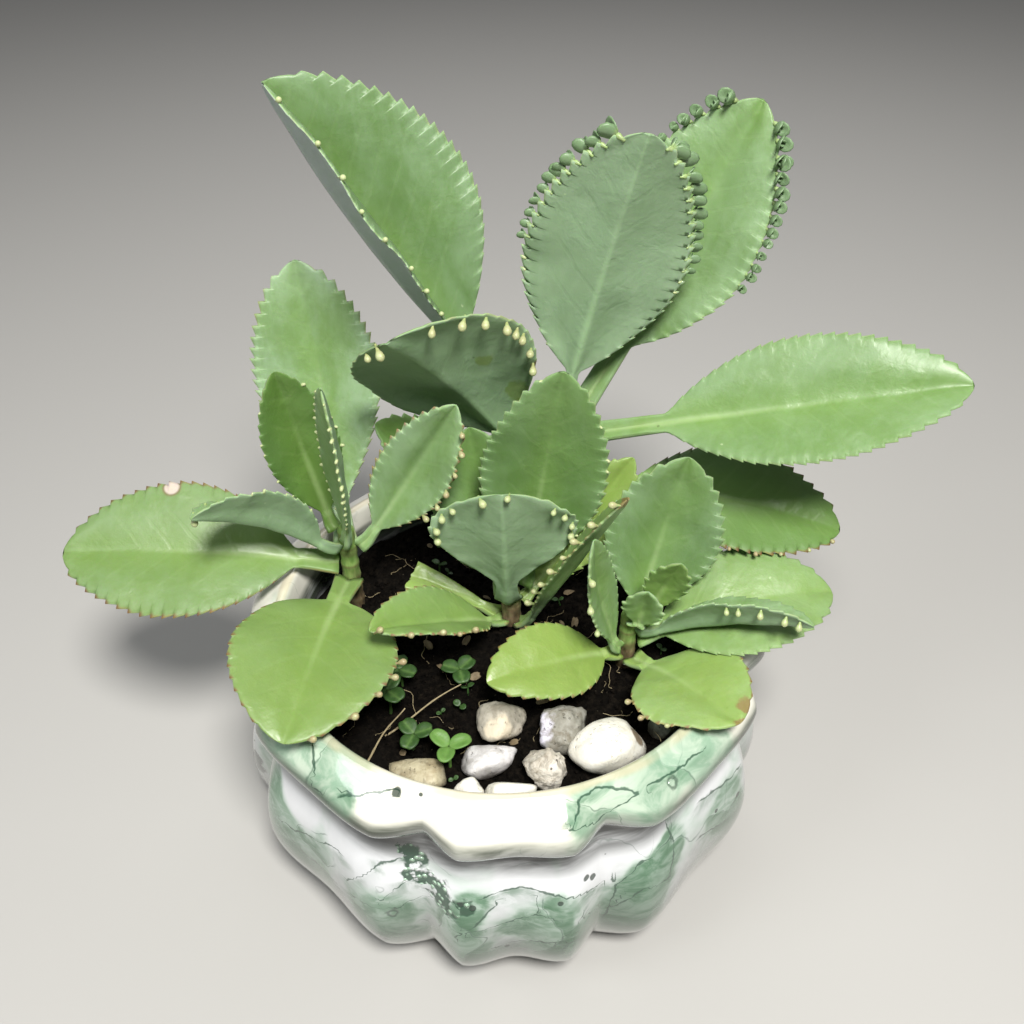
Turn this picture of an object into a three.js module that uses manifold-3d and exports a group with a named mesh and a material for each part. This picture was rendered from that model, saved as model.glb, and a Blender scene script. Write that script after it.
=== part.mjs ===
// Potted mother of thousands: a lobed, glazed bowl planter filled with dark soil, four young
// succulent plants with toothed leaves that carry plantlets along their edges, loose pebbles,
// clover seedlings and dry grass stalks. Millimetres, +Z up. The origin is the middle of the
// pot's flat foot. -Y is the front.
import * as THREE from 'three';
import { mergeVertices } from 'three/addons/utils/BufferGeometryUtils.js';
import Module from 'manifold-3d';

const wasm = await Module();
wasm.setup();

// Driving dimensions
const POT_HEIGHT = 95;
const LIP_RADIUS = 78;
const LOBES = 8;
const LOBE_CENTRE = THREE.MathUtils.degToRad(2.8);
const CAVITY_FLOOR = 9;
const SOIL_LEVEL = 76;
const GAP = 0.35;
const STEM_DEPTH = 14;
const RIB_THICKNESS = 2.4;
const EDGE_THICKNESS = 1.1;
const TOOTH_DEPTH = 1.5;

// Colours of the materials
const COLOURS = {
  glaze: 0xdfe6d8,
  soil: 0x2b2119,
  bark: 0x7a6248,
  green: 0x6f9a66,
  yellow: 0x9db04e,
  stone: 0xcfc8bb,
  weed: 0x5f8a45,
  straw: 0xb9a67e,
};

const material = (kind, roughness = 0.6) =>
  new THREE.MeshStandardMaterial({ color: COLOURS[kind], roughness, metalness: 0 });

const group = new THREE.Group();

function addMesh(name, geometry, kind, roughness) {
  const mesh = new THREE.Mesh(geometry, material(kind, roughness));
  mesh.name = name;
  group.add(mesh);
}

// A repeatable sequence of numbers between 0 and 1
function seeded(seed) {
  let state = seed;
  return () => {
    state = (state * 1664525 + 1013904223) % 4294967296;
    return state / 4294967296;
  };
}

// Geometry helpers
function geometryFrom(points, faces) {
  const geometry = new THREE.BufferGeometry();
  const flat = points.flatMap((p) => [p.x, p.y, p.z]);
  geometry.setAttribute('position', new THREE.Float32BufferAttribute(flat, 3));
  geometry.setIndex(faces.flat());
  return geometry;
}

function toSolid(geometry) {
  const bare = new THREE.BufferGeometry();
  bare.setAttribute('position', geometry.getAttribute('position').clone());
  if (geometry.index) bare.setIndex(geometry.index.clone());
  const merged = mergeVertices(bare, 1e-4);
  return new wasm.Manifold(new wasm.Mesh({
    numProp: 3,
    vertProperties: Float32Array.from(merged.getAttribute('position').array),
    triVerts: Uint32Array.from(merged.index.array),
  }));
}

function toGeometry(solid) {
  const mesh = solid.getMesh();
  const geometry = new THREE.BufferGeometry();
  geometry.setAttribute('position', new THREE.Float32BufferAttribute(mesh.vertProperties, 3));
  geometry.setIndex([...mesh.triVerts]);
  return geometry;
}

// A closed skin over rings of points that run from one pole to the other
function skinOverRings(startPole, rings, endPole) {
  const points = [startPole];
  rings.forEach((ring) => points.push(...ring));
  points.push(endPole);
  const count = rings[0].length;
  const at = (ring, i) => 1 + ring * count + (i % count);
  const faces = [];
  for (let i = 0; i < count; i += 1) {
    faces.push([0, at(0, i + 1), at(0, i)]);
    for (let ring = 0; ring < rings.length - 1; ring += 1) {
      faces.push([at(ring, i), at(ring, i + 1), at(ring + 1, i)]);
      faces.push([at(ring, i + 1), at(ring + 1, i + 1), at(ring + 1, i)]);
    }
    faces.push([at(rings.length - 1, i), at(rings.length - 1, i + 1), points.length - 1]);
  }
  return geometryFrom(points, faces);
}

// Pot: a bulging body of eight lobes under a scalloped collar. Each lobe has two soft
// corners with a shallow face between them. Rows give the radius at a corner and in a valley.
const POT_OUTLINE = [
  { z: 0, corner: 78, valley: 74 },
  { z: 3, corner: 84, valley: 79 },
  { z: 12, corner: 92, valley: 85 },
  { z: 24, corner: 96.5, valley: 89 },
  { z: 38, corner: 97, valley: 90 },
  { z: 52, corner: 94.5, valley: 89 },
  { z: 64, corner: 89.5, valley: 86 },
  { z: 71, corner: 86.5, valley: 83.5 },
  { z: 76, corner: 88.5, valley: 82.5 },
  { z: 80, corner: 93, valley: 86 },
  { z: 85, corner: 94, valley: 87 },
  { z: 90, corner: 90, valley: 85.5 },
  { z: POT_HEIGHT, corner: 81.5, valley: 80.5 },
];
const POT_INSIDE = [
  { z: POT_HEIGHT - 1, radius: LIP_RADIUS },
  { z: 84, radius: 76 },
  { z: 40, radius: 74 },
  { z: CAVITY_FLOOR, radius: 62 },
];
const POT_COLUMNS = LOBES * 10;
const LOBE_CORNER = 0.61;
const LOBE_FACE_DIP = 0.57;
const VALLEY_CREASE = 0.68;
const NARROWING = THREE.MathUtils.degToRad(3.9);

// 1 at a lobe's corners, less on its face, 0 in the valley between two lobes. Every other lobe,
// beginning with the front one, is narrower than the rest.
function lobeHeight(angle) {
  const away = angle - LOBE_CENTRE;
  const evened = away + NARROWING * Math.sin((away * LOBES) / 2);
  const turns = evened / ((2 * Math.PI) / LOBES) + 0.5;
  const offset = Math.abs(turns - Math.floor(turns) - 0.5) * 2;
  if (offset < LOBE_CORNER) {
    return 1 - LOBE_FACE_DIP * Math.cos((offset / LOBE_CORNER) * (Math.PI / 2)) ** 2;
  }
  const fall = (offset - LOBE_CORNER) / (1 - LOBE_CORNER);
  return THREE.MathUtils.lerp((1 + Math.cos(Math.PI * fall)) / 2, 1 - fall, VALLEY_CREASE);
}

// Angles are measured from the front, turning towards +X
const onCircle = (radius, angle, z) =>
  new THREE.Vector3(radius * Math.sin(angle), -radius * Math.cos(angle), z);

const columnAngles = (count) =>
  Array.from({ length: count }, (_, i) => LOBE_CENTRE + (2 * Math.PI * i) / count);

function insideRadius(z) {
  const rows = POT_INSIDE;
  for (let i = 0; i < rows.length - 1; i += 1) {
    if (z >= rows[i + 1].z) {
      const share = (rows[i].z - z) / (rows[i].z - rows[i + 1].z);
      return THREE.MathUtils.lerp(rows[i].radius, rows[i + 1].radius, share);
    }
  }
  return rows[rows.length - 1].radius;
}

function makePot() {
  const angles = columnAngles(POT_COLUMNS);
  const outer = POT_OUTLINE.map((row) => angles.map((angle) => onCircle(
    THREE.MathUtils.lerp(row.valley, row.corner, lobeHeight(angle)), angle, row.z)));
  const inner = POT_INSIDE.map((row) => angles.map((angle) => onCircle(row.radius, angle, row.z)));
  return skinOverRings(
    new THREE.Vector3(0, 0, 0), [...outer, ...inner], new THREE.Vector3(0, 0, CAVITY_FLOOR));
}

addMesh('pot', makePot(), 'glaze', 0.2);

// Plants: the foot and the top of each stem's middle line, and its radius at the foot
const STEMS = {
  left: { foot: [-57, 20], top: [-57, 20, 116], radius: 3.6 },
  back: { foot: [17, 48], top: [14, 42, 152], radius: 4.2 },
  middle: { foot: [3, 9], top: [3, 9, 96], radius: 3.8 },
  right: { foot: [44, -11], top: [44, -11, 104], radius: 3.4 },
};
const STEM_TAPER = 0.8;
const STEM_SIDES = 10;
const STEM_RING_STEP = 9;
const STEM_RIDGE = 0.03;
const STEM_WAIST = 0.06;
const STEM_DOME = 0.8;

function stemAxis(stem, z) {
  const share = (z - SOIL_LEVEL) / (stem.top[2] - SOIL_LEVEL);
  return new THREE.Vector3(
    THREE.MathUtils.lerp(stem.foot[0], stem.top[0], share),
    THREE.MathUtils.lerp(stem.foot[1], stem.top[1], share), z);
}

function stemRadius(stem, z) {
  const share = THREE.MathUtils.clamp((z - SOIL_LEVEL) / (stem.top[2] - SOIL_LEVEL), 0, 1);
  return stem.radius * THREE.MathUtils.lerp(1, STEM_TAPER, share);
}

// A stem with slightly swollen rings where leaves grow or once grew
function makeStem(stem, grow = 0) {
  const low = SOIL_LEVEL - STEM_DEPTH - grow;
  const high = stem.top[2];
  const count = Math.max(4, Math.round((high - low) / STEM_RING_STEP));
  const rings = [];
  for (let i = 0; i <= count; i += 1) {
    const z = THREE.MathUtils.lerp(low, high, i / count);
    const middle = stemAxis(stem, z);
    const swell = i % 2 ? -STEM_WAIST : STEM_RIDGE;
    const radius = stemRadius(stem, z) * (grow ? 1 : 1 + swell) + grow;
    rings.push(Array.from({ length: STEM_SIDES }, (_, k) => {
      const angle = (2 * Math.PI * k) / STEM_SIDES;
      return onCircle(radius, angle, 0).add(middle);
    }));
  }
  return skinOverRings(stemAxis(stem, low - 1), rings, stemAxis(stem, high + STEM_DOME));
}

Object.entries(STEMS).forEach(([plant, stem]) => addMesh(`stem_${plant}`, makeStem(stem), 'bark', 0.8));

// Leaves. Each grows from its stem at the height node and reaches to tip. face is where the
// upper side looks, bow the rise of the midrib above the straight line, cup the angles by which
// the two halves, right and left seen from the base, fold up from flat. petiole is the share of
// the length that is stalk, widest where along the blade it is widest, and base how full it is
// below that. plantlets lists stretches of the edge: side, from, to and count. They point outwards,
// or hang over the underside where hang is set. A cut leaf is a stub with a blunt end.
const RIGHT = 1;
const LEFT = -1;
const FRONT_UP = [0, -0.76, 0.65];
const LEAVES = [
  { name: 'leaf_left_reaching', plant: 'left', node: 97, tip: [-159, 14, 107], face: [0, -0.45, 1],
    width: 52, bow: 5, cup: [10, 8], petiole: 0.14, teeth: 10 },
  { name: 'leaf_left_tall', plant: 'left', node: 103, tip: [-71, 64, 197], face: FRONT_UP,
    width: 44, bow: -8, widest: 0.55, cup: [12, 12], petiole: 0.12, teeth: 9 },
  { name: 'leaf_left_inner', plant: 'left', node: 112, tip: [-75, 28, 175], face: [0.35, -0.9, 0.3],
    width: 27, bow: -4, cup: [10, 18], petiole: 0.1, teeth: 6 },
  { name: 'leaf_left_edge', plant: 'left', node: 110, tip: [-54, 0, 187], face: [-0.9, -0.5, 0.1],
    width: 20, bow: -2, cup: [16, 16], petiole: 0.1, teeth: 6 },
  { name: 'leaf_left_folded', plant: 'left', node: 105, tip: [-101, -6, 140], face: [-0.1, 0.75, 0.7],
    width: 30, bow: 4, cup: [35, 35], petiole: 0.12, teeth: 7, hang: true,
    plantlets: [{ side: RIGHT, from: 0.3, to: 0.95, count: 6 }] },
  { name: 'leaf_left_leaning', plant: 'left', node: 105, tip: [-15, 22, 166], face: [-0.3, -0.9, 0.3],
    width: 28, bow: -5, cup: [15, 30], petiole: 0.12, teeth: 8,
    plantlets: [{ side: RIGHT, from: 0.3, to: 0.9, count: 6 }] },
  { name: 'leaf_left_drooping', plant: 'left', node: 91, tip: [-67, -64, 99], face: [0.1, -0.35, 1],
    width: 55, bow: 6, base: 0.6, cup: [8, 8], petiole: 0.2, teeth: 9,
    plantlets: [{ side: LEFT, from: 0.45, to: 0.95, count: 5 }] },
  { name: 'leaf_back_left', plant: 'back', node: 140, tip: [-70, 52, 259], face: [0.3, -0.9, 0.45],
    width: 74, stalk: 9, bow: -6, cup: [8, 84], petiole: 0.28, teeth: 11,
    plantlets: [{ side: LEFT, from: 0.2, to: 0.95, count: 8 }] },
  { name: 'leaf_back_centre', plant: 'back', node: 146, tip: [43, 38, 249], face: [0, 0.95, -0.1],
    width: 53, stalk: 4.6, bow: 5, cup: [10, 10], petiole: 0.18, teeth: 11, leaflets: true,
    plantlets: [
      { side: RIGHT, from: 0.5, to: 0.97, count: 7 },
      { side: LEFT, from: 0.5, to: 0.97, count: 7 },
    ] },
  { name: 'leaf_back_rear', plant: 'back', node: 132, tip: [83, 74, 247], face: [-0.3, -0.8, 0.5],
    width: 52, bow: -6, cup: [14, 14], petiole: 0.32, teeth: 10, leaflets: true,
    plantlets: [
      { side: RIGHT, from: 0.45, to: 0.97, count: 7 },
      { side: LEFT, from: 0.75, to: 0.97, count: 4 },
    ] },
  { name: 'leaf_back_right', plant: 'back', node: 138, tip: [148, 12, 180], face: [-0.1, -0.55, 0.85],
    width: 46, bow: 1, cup: [16, 16], petiole: 0.28, teeth: 11 },
  { name: 'leaf_back_low_right', plant: 'back', node: 116, tip: [123, 22, 111], face: [0.1, -0.4, 0.9],
    width: 42, bow: 8, cup: [10, 10], petiole: 0.25, teeth: 9,
    plantlets: [{ side: RIGHT, from: 0.5, to: 0.95, count: 5 }] },
  { name: 'leaf_back_hood', plant: 'back', node: 128, tip: [-35, 12, 195], face: [0.35, 0.9, -0.3],
    width: 64, stalk: 7.5, bow: 6, widest: 0.55, base: 0.65, cup: [12, 12], petiole: 0.2, teeth: 9, hang: true,
    plantlets: [
      { side: LEFT, from: 0.35, to: 0.9, count: 8 },
      { side: RIGHT, from: 0.93, to: 0.97, count: 2 },
    ] },
  { name: 'leaf_back_low_left', plant: 'back', node: 106, tip: [-46, 42, 144], face: [0.2, -0.5, 0.8],
    width: 26, bow: -4, cup: [12, 12], petiole: 0.2, teeth: 6 },
  { name: 'leaf_middle_tall', plant: 'middle', node: 94, tip: [20, 22, 179], face: FRONT_UP,
    width: 44, bow: -4, cup: [14, 14], petiole: 0.1, teeth: 9 },
  { name: 'leaf_middle_left', plant: 'middle', node: 88, tip: [-12, 36, 147], face: FRONT_UP,
    width: 40, bow: -4, widest: 0.42, cup: [14, 14], petiole: 0.1, teeth: 7 },
  { name: 'leaf_middle_hood', plant: 'middle', node: 92, tip: [0, -4, 149], face: [0, 0.9, 0.1],
    width: 50, bow: -2, widest: 0.62, cup: [8, 8], petiole: 0.17, teeth: 8, hang: true,
    plantlets: [
      { side: RIGHT, from: 0.55, to: 0.97, count: 5 },
      { side: LEFT, from: 0.55, to: 0.97, count: 5 },
    ] },
  { name: 'leaf_middle_slanted', plant: 'middle', node: 79, tip: [38, -24, 164], face: [-0.73, 0.25, 0.65],
    width: 15, bow: 0, cup: [30, 30], petiole: 0.1, teeth: 8,
    plantlets: [{ side: RIGHT, from: 0.15, to: 0.95, count: 8 }] },
  { name: 'leaf_middle_low_left', plant: 'middle', node: 80, tip: [-43, -30, 113], face: [0.1, -0.05, 1],
    width: 27, bow: 2, cup: [25, 25], petiole: 0.1, teeth: 7,
    plantlets: [{ side: LEFT, from: 0.4, to: 0.97, count: 5 }] },
  { name: 'leaf_middle_yellow', plant: 'middle', node: 86, tip: [47, 34, 135], face: FRONT_UP,
    width: 24, bow: -3, cup: [14, 14], petiole: 0.1, teeth: 6, yellow: true },
  { name: 'leaf_middle_stub', plant: 'middle', node: 80, tip: [-34, 17, 92], face: [0, -0.3, 1],
    width: 13, bow: 2, cup: [16, 16], petiole: 0.2, teeth: 3, yellow: true, cut: true },
  { name: 'leaf_right_tall', plant: 'right', node: 94, tip: [62, 12, 152], face: FRONT_UP,
    width: 40, bow: -5, cup: [14, 14], petiole: 0.08, teeth: 9 },
  { name: 'leaf_right_narrow', plant: 'right', node: 88, tip: [28, -27, 150], face: [0.8, -0.6, 0.2],
    width: 16, bow: -3, cup: [16, 16], petiole: 0.08, teeth: 6,
    plantlets: [{ side: LEFT, from: 0.3, to: 0.8, count: 3 }] },
  { name: 'leaf_right_small', plant: 'right', node: 100, tip: [48, -19, 120], face: [-0.2, -0.8, 0.4],
    width: 14, bow: -1, cup: [14, 14], petiole: 0.08, teeth: 5 },
  { name: 'leaf_right_young', plant: 'right', node: 98, tip: [59, -13, 127], face: [0, -0.85, 0.45],
    width: 14, bow: -3, cup: [10, 10], petiole: 0.2, teeth: 5 },
  { name: 'leaf_right_wide', plant: 'right', node: 89, tip: [115, -4, 105], face: [0, -0.22, 1],
    width: 42, bow: 7, cup: [8, 8], petiole: 0.1, teeth: 9 },
  { name: 'leaf_right_folded', plant: 'right', node: 94, tip: [100, -32, 117], face: [-0.1, 0.7, 0.8],
    width: 24, bow: 3, cup: [35, 35], petiole: 0.1, teeth: 7, hang: true,
    plantlets: [{ side: RIGHT, from: 0.5, to: 0.95, count: 5 }] },
  { name: 'leaf_right_low', plant: 'right', node: 82, tip: [75, -56, 99], face: [-0.05, -0.15, 1],
    width: 40, bow: 3, cup: [8, 4], petiole: 0.14, teeth: 8, yellow: true,
    plantlets: [{ side: RIGHT, from: 0.3, to: 0.7, count: 3 }] },
  { name: 'leaf_right_yellow', plant: 'right', node: 84, tip: [-5, -38, 97], face: [0, -0.3, 1],
    width: 29, bow: 4, cup: [8, 8], petiole: 0.1, teeth: 6, yellow: true },
];

const vec = (list) => new THREE.Vector3(...list);
const WIDEST = 0.48;
const TIP_FULLNESS = 0.62;
const BASE_FULLNESS = 0.78;
const STALK_SHARE = 0.16;
const STALK_WIDTHS = [4, 9];
const STALK_CLEARANCE = 0.8;
const STALK_EDGE_SHARE = 0.6;
const TIP_HALF_WIDTH = 0.6;
const TOOTH_LEAN = 0.35;

// A broad blade has a broad stalk, unless the leaf has its own width there
const stalkWidth = (leaf) =>
  leaf.stalk ?? THREE.MathUtils.clamp(leaf.width * STALK_SHARE, ...STALK_WIDTHS);

// Half the width of a blade at a share s of its length
function bladeHalf(leaf, s) {
  if (leaf.cut) return THREE.MathUtils.lerp(stalkWidth(leaf), leaf.width, s) / 2;
  const widest = leaf.widest ?? WIDEST;
  const fullness = s < widest ? leaf.base ?? BASE_FULLNESS : TIP_FULLNESS;
  const outline = Math.sin(Math.PI * s ** (Math.log(0.5) / Math.log(widest))) ** fullness;
  return Math.max(outline * leaf.width / 2, stalkWidth(leaf) / 2 * (1 - s));
}

// The midrib of a leaf with its frame at a share u of the length
function leafFrame(leaf) {
  const stem = STEMS[leaf.plant];
  const axis = stemAxis(stem, leaf.node);
  const tip = vec(leaf.tip);
  const out = new THREE.Vector3(tip.x - axis.x, tip.y - axis.y, 0).normalize();
  const clear = stemRadius(stem, leaf.node) * (1 + STEM_RIDGE) + GAP + RIB_THICKNESS / 2 + STALK_CLEARANCE;
  const base = axis.addScaledVector(out, clear);
  const along = tip.clone().sub(base).normalize();
  const face = vec(leaf.face);
  face.addScaledVector(along, -face.dot(along)).normalize();
  const middle = base.clone().add(tip).multiplyScalar(0.5).addScaledVector(face, leaf.bow * 2);
  const curve = new THREE.QuadraticBezierCurve3(base, middle, tip);
  return (u) => {
    const point = curve.getPoint(u);
    const ahead = curve.getTangent(u);
    const up = face.clone().addScaledVector(ahead, -face.dot(ahead)).normalize();
    const right = ahead.clone().cross(up);
    return { point, ahead, up, right };
  };
}

// A point on the edge of a leaf and the outward and upward directions there
function edgePoint(leaf, frameAt, side, s, reach) {
  const u = leaf.petiole + (1 - leaf.petiole) * s;
  const { point, ahead, up, right } = frameAt(u);
  const fold = THREE.MathUtils.degToRad(leaf.cup[side === RIGHT ? 0 : 1]);
  const out = right.clone().multiplyScalar(side * Math.cos(fold)).addScaledVector(up, Math.sin(fold));
  const normal = up.clone().multiplyScalar(Math.cos(fold)).addScaledVector(right, -side * Math.sin(fold));
  return { point: point.clone().addScaledVector(out, bladeHalf(leaf, s) + reach), out, normal, ahead };
}

// Stations from the base to the tip: the petiole, then notch and tooth by turns
function leafStations(leaf) {
  const stations = [{ s: -1 }, { s: 0, reach: 0 }];
  const count = leaf.teeth * 2;
  for (let i = 1; i < count; i += 1) {
    const s = (i + TOOTH_LEAN * (i % 2)) / (count + TOOTH_LEAN);
    stations.push({ s, reach: i % 2 && !leaf.cut ? TOOTH_DEPTH : 0 });
  }
  stations.push({ s: 1, reach: 0 });
  return stations;
}

function makeBlade(leaf) {
  const frameAt = leafFrame(leaf);
  const rows = leafStations(leaf).map(({ s, reach }) => {
    const stalk = s < 0;
    const u = stalk ? 0 : leaf.petiole + (1 - leaf.petiole) * s;
    const { point, up, right } = frameAt(u);
    const last = s === 1;
    const rib = THREE.MathUtils.lerp(RIB_THICKNESS, EDGE_THICKNESS, stalk ? 0 : s) / 2;
    const edge = (stalk ? RIB_THICKNESS * STALK_EDGE_SHARE : EDGE_THICKNESS) / 2;
    const end = leaf.cut ? leaf.width / 2 : TIP_HALF_WIDTH;
    const sides = [RIGHT, LEFT].map((side) => {
      if (stalk) {
        const place = point.clone().addScaledVector(right, side * stalkWidth(leaf) / 2);
        return { point: place, normal: up };
      }
      if (last) {
        const place = point.clone().addScaledVector(right, side * end);
        return { point: place, normal: up };
      }
      return edgePoint(leaf, frameAt, side, s, reach);
    });
    const [r, l] = sides;
    return [
      r.point.clone().addScaledVector(r.normal, edge),
      point.clone().addScaledVector(up, rib),
      l.point.clone().addScaledVector(l.normal, edge),
      l.point.clone().addScaledVector(l.normal, -edge),
      point.clone().addScaledVector(up, -rib),
      r.point.clone().addScaledVector(r.normal, -edge),
    ];
  });
  const points = rows.flat();
  const at = (row, k) => row * 6 + (k % 6);
  const faces = [];
  for (let row = 0; row < rows.length - 1; row += 1) {
    const quad = (a, b) => {
      faces.push([at(row, a), at(row + 1, a), at(row + 1, b)]);
      faces.push([at(row, a), at(row + 1, b), at(row, b)]);
    };
    const quadBack = (a, b) => {
      faces.push([at(row, a), at(row + 1, a), at(row, b)]);
      faces.push([at(row + 1, a), at(row + 1, b), at(row, b)]);
    };
    quad(0, 1);
    quad(1, 2);
    quad(2, 3);
    quadBack(3, 4);
    quadBack(4, 5);
    quad(5, 0);
  }
  const end = rows.length - 1;
  const cap = (row, turn) => [[0, 1, 5], [1, 4, 5], [1, 2, 4], [2, 3, 4]].forEach(([a, b, c]) =>
    faces.push(turn ? [at(row, a), at(row, c), at(row, b)] : [at(row, a), at(row, b), at(row, c)]));
  cap(0, false);
  cap(end, true);
  return geometryFrom(points, faces);
}

// A plantlet is a teardrop bud whose root is sunk in the blade's edge, or a flat pair of leaflets.
// Its aim is given as shares outwards from the edge and up from the blade.
const BUD = { length: 5, radius: 1.5, flat: 1 };
const LEAFLET_PAIR = { length: 7, radius: 2.6, flat: 0.45 };
const AIM_OUT = [1, 0.5];
const AIM_HANGING = [-0.45, -0.9];
const ROOT_DEPTH = 1.2;
const BELLY_SHARE = 0.62;

function makeBud({ point, out, normal, ahead }, { length, radius, flat }, [outwards, upwards]) {
  const axis = out.clone().multiplyScalar(outwards).addScaledVector(normal, upwards).normalize();
  const second = axis.clone().cross(ahead).normalize();
  const root = point.clone().addScaledVector(out, -ROOT_DEPTH);
  const belly = root.clone().addScaledVector(axis, length * BELLY_SHARE);
  const top = root.clone().addScaledVector(axis, length);
  const ring = [0, 1, 2, 3].map((k) => {
    const angle = (Math.PI * k) / 2;
    return belly.clone().addScaledVector(ahead, Math.cos(angle) * radius)
      .addScaledVector(second, Math.sin(angle) * radius * flat);
  });
  return skinOverRings(root, [ring], top);
}

function orientedSolid(geometry) {
  const solid = toSolid(geometry);
  if (solid.volume() > 0) return solid;
  const index = [...geometry.index.array];
  for (let i = 0; i < index.length; i += 3) [index[i], index[i + 1]] = [index[i + 1], index[i]];
  geometry.setIndex(index);
  return toSolid(geometry);
}

function makeLeaf(leaf) {
  const frameAt = leafFrame(leaf);
  let solid = orientedSolid(makeBlade(leaf));
  (leaf.plantlets ?? []).forEach(({ side, from, to, count }) => {
    for (let i = 0; i < count; i += 1) {
      const s = THREE.MathUtils.lerp(from, to, count > 1 ? i / (count - 1) : 0);
      const place = edgePoint(leaf, frameAt, side, s, 0);
      const bud = makeBud(place, leaf.leaflets ? LEAFLET_PAIR : BUD, leaf.hang ? AIM_HANGING : AIM_OUT);
      solid = solid.add(orientedSolid(bud));
    }
  });
  return toGeometry(solid);
}

LEAVES.forEach((leaf) => addMesh(leaf.name, makeLeaf(leaf), leaf.yellow ? 'yellow' : 'green', 0.5));

// Pebbles: where each lies, its three widths, its turn, and how rough it is
const PEBBLES = [
  { name: 'pebble_grey', at: [-1, -42, 82], size: [18, 16, 15], turn: 20, rough: 0.1 },
  { name: 'pebble_oblong', at: [-4, -56, 80], size: [19, 11, 10], turn: 8, rough: 0.06 },
  { name: 'pebble_tall_grey', at: [20, -44, 81], size: [16, 20, 16], turn: -35, rough: 0.14 },
  { name: 'pebble_crusty', at: [15, -61, 82], size: [14, 13, 15], turn: 10, rough: 0.16 },
  { name: 'pebble_smooth_white', at: [35, -53, 82], size: [26, 17, 18], turn: 30, rough: 0.04 },
  { name: 'pebble_brown_cream', at: [-26, -61, 79], size: [20, 13, 12], turn: -22, rough: 0.06 },
  { name: 'pebble_small_cream', at: [-11, -67, 79], size: [10, 9, 9], turn: 0, rough: 0.08 },
  { name: 'pebble_cream', at: [3, -69, 80], size: [17, 8, 11], turn: 3, rough: 0.05 },
  { name: 'pebble_grey_green', at: [54, -42, 79], size: [10, 9, 9], turn: 0, rough: 0.1 },
  { name: 'pebble_rear', at: [-17, 5, 80], size: [9, 11, 8], turn: 30, rough: 0.14 },
];

function makePebble(pebble, index, grow = 0) {
  const geometry = new THREE.IcosahedronGeometry(1, 1);
  geometry.deleteAttribute('normal');
  geometry.deleteAttribute('uv');
  const merged = mergeVertices(geometry);
  const position = merged.getAttribute('position');
  const random = seeded(100 + index);
  for (let i = 0; i < position.count; i += 1) {
    const bump = 1 + pebble.rough * (random() - 0.5) * 2;
    const point = new THREE.Vector3().fromBufferAttribute(position, i);
    point.multiply(vec(pebble.size)).multiplyScalar(bump / 2);
    point.addScaledVector(point.clone().normalize(), grow);
    point.applyAxisAngle(new THREE.Vector3(0, 0, 1), THREE.MathUtils.degToRad(pebble.turn));
    point.add(vec(pebble.at));
    position.setXYZ(i, point.x, point.y, point.z);
  }
  return merged;
}

PEBBLES.forEach((pebble, index) => addMesh(pebble.name, makePebble(pebble, index), 'stone', 0.7));

// Clover seedlings: where each stands, its height, leaflet width and turn
const SEEDLINGS = [
  { name: 'seedling_front', at: [-17, -56], height: 11, leaflet: 8, turn: 20 },
  { name: 'seedling_left', at: [-39, -33], height: 11, leaflet: 8, turn: 75 },
  { name: 'seedling_shaded', at: [-29, -48], height: 7, leaflet: 7, turn: 10 },
  { name: 'seedling_inner', at: [-15, -22], height: 9, leaflet: 7, turn: 45 },
  { name: 'seedling_wall', at: [-36, -22], height: 9, leaflet: 7, turn: 95 },
];
const SEEDLING_STEM = 0.8;
const SEEDLING_DEPTH = 4;
const LEAFLET_SIDES = 6;
const LEAFLET_REACH = 0.48;
const LEAFLET_ROUNDNESS = 0.88;
const LEAFLET_RISE = 0.15;
const LEAFLET_HALF_THICKNESS = 0.8;
const ROD_POINT = 0.2;

function rod(from, to, radius, sides = 5) {
  const axis = to.clone().sub(from).normalize();
  const first = new THREE.Vector3(0, 0, 1);
  if (Math.abs(axis.z) > 0.9) first.set(1, 0, 0);
  first.cross(axis).normalize();
  const second = axis.clone().cross(first);
  const ring = (middle) => Array.from({ length: sides }, (_, k) => {
    const angle = (2 * Math.PI * k) / sides;
    return middle.clone().addScaledVector(first, Math.cos(angle) * radius)
      .addScaledVector(second, Math.sin(angle) * radius);
  });
  return skinOverRings(from.clone().addScaledVector(axis, -ROD_POINT), [ring(from), ring(to)],
    to.clone().addScaledVector(axis, ROD_POINT));
}

function makeSeedling(seedling) {
  const foot = new THREE.Vector3(...seedling.at, SOIL_LEVEL - SEEDLING_DEPTH);
  const top = new THREE.Vector3(...seedling.at, SOIL_LEVEL + seedling.height);
  let solid = orientedSolid(rod(foot, top, SEEDLING_STEM));
  for (let k = 0; k < 3; k += 1) {
    const angle = THREE.MathUtils.degToRad(seedling.turn + 120 * k);
    const out = new THREE.Vector3(Math.cos(angle), Math.sin(angle), LEAFLET_RISE);
    const across = new THREE.Vector3(-Math.sin(angle), Math.cos(angle), 0);
    const centre = top.clone().addScaledVector(out, seedling.leaflet * LEAFLET_REACH);
    const ring = Array.from({ length: LEAFLET_SIDES }, (_, i) => {
      const turn = (2 * Math.PI * i) / LEAFLET_SIDES;
      return centre.clone().addScaledVector(out, Math.cos(turn) * seedling.leaflet / 2)
        .addScaledVector(across, Math.sin(turn) * seedling.leaflet * LEAFLET_ROUNDNESS / 2);
    });
    const up = new THREE.Vector3(0, 0, LEAFLET_HALF_THICKNESS);
    solid = solid.add(orientedSolid(skinOverRings(centre.clone().sub(up), [ring], centre.clone().add(up))));
  }
  return toGeometry(solid);
}

SEEDLINGS.forEach((seedling) => addMesh(seedling.name, makeSeedling(seedling), 'weed', 0.6));

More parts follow.
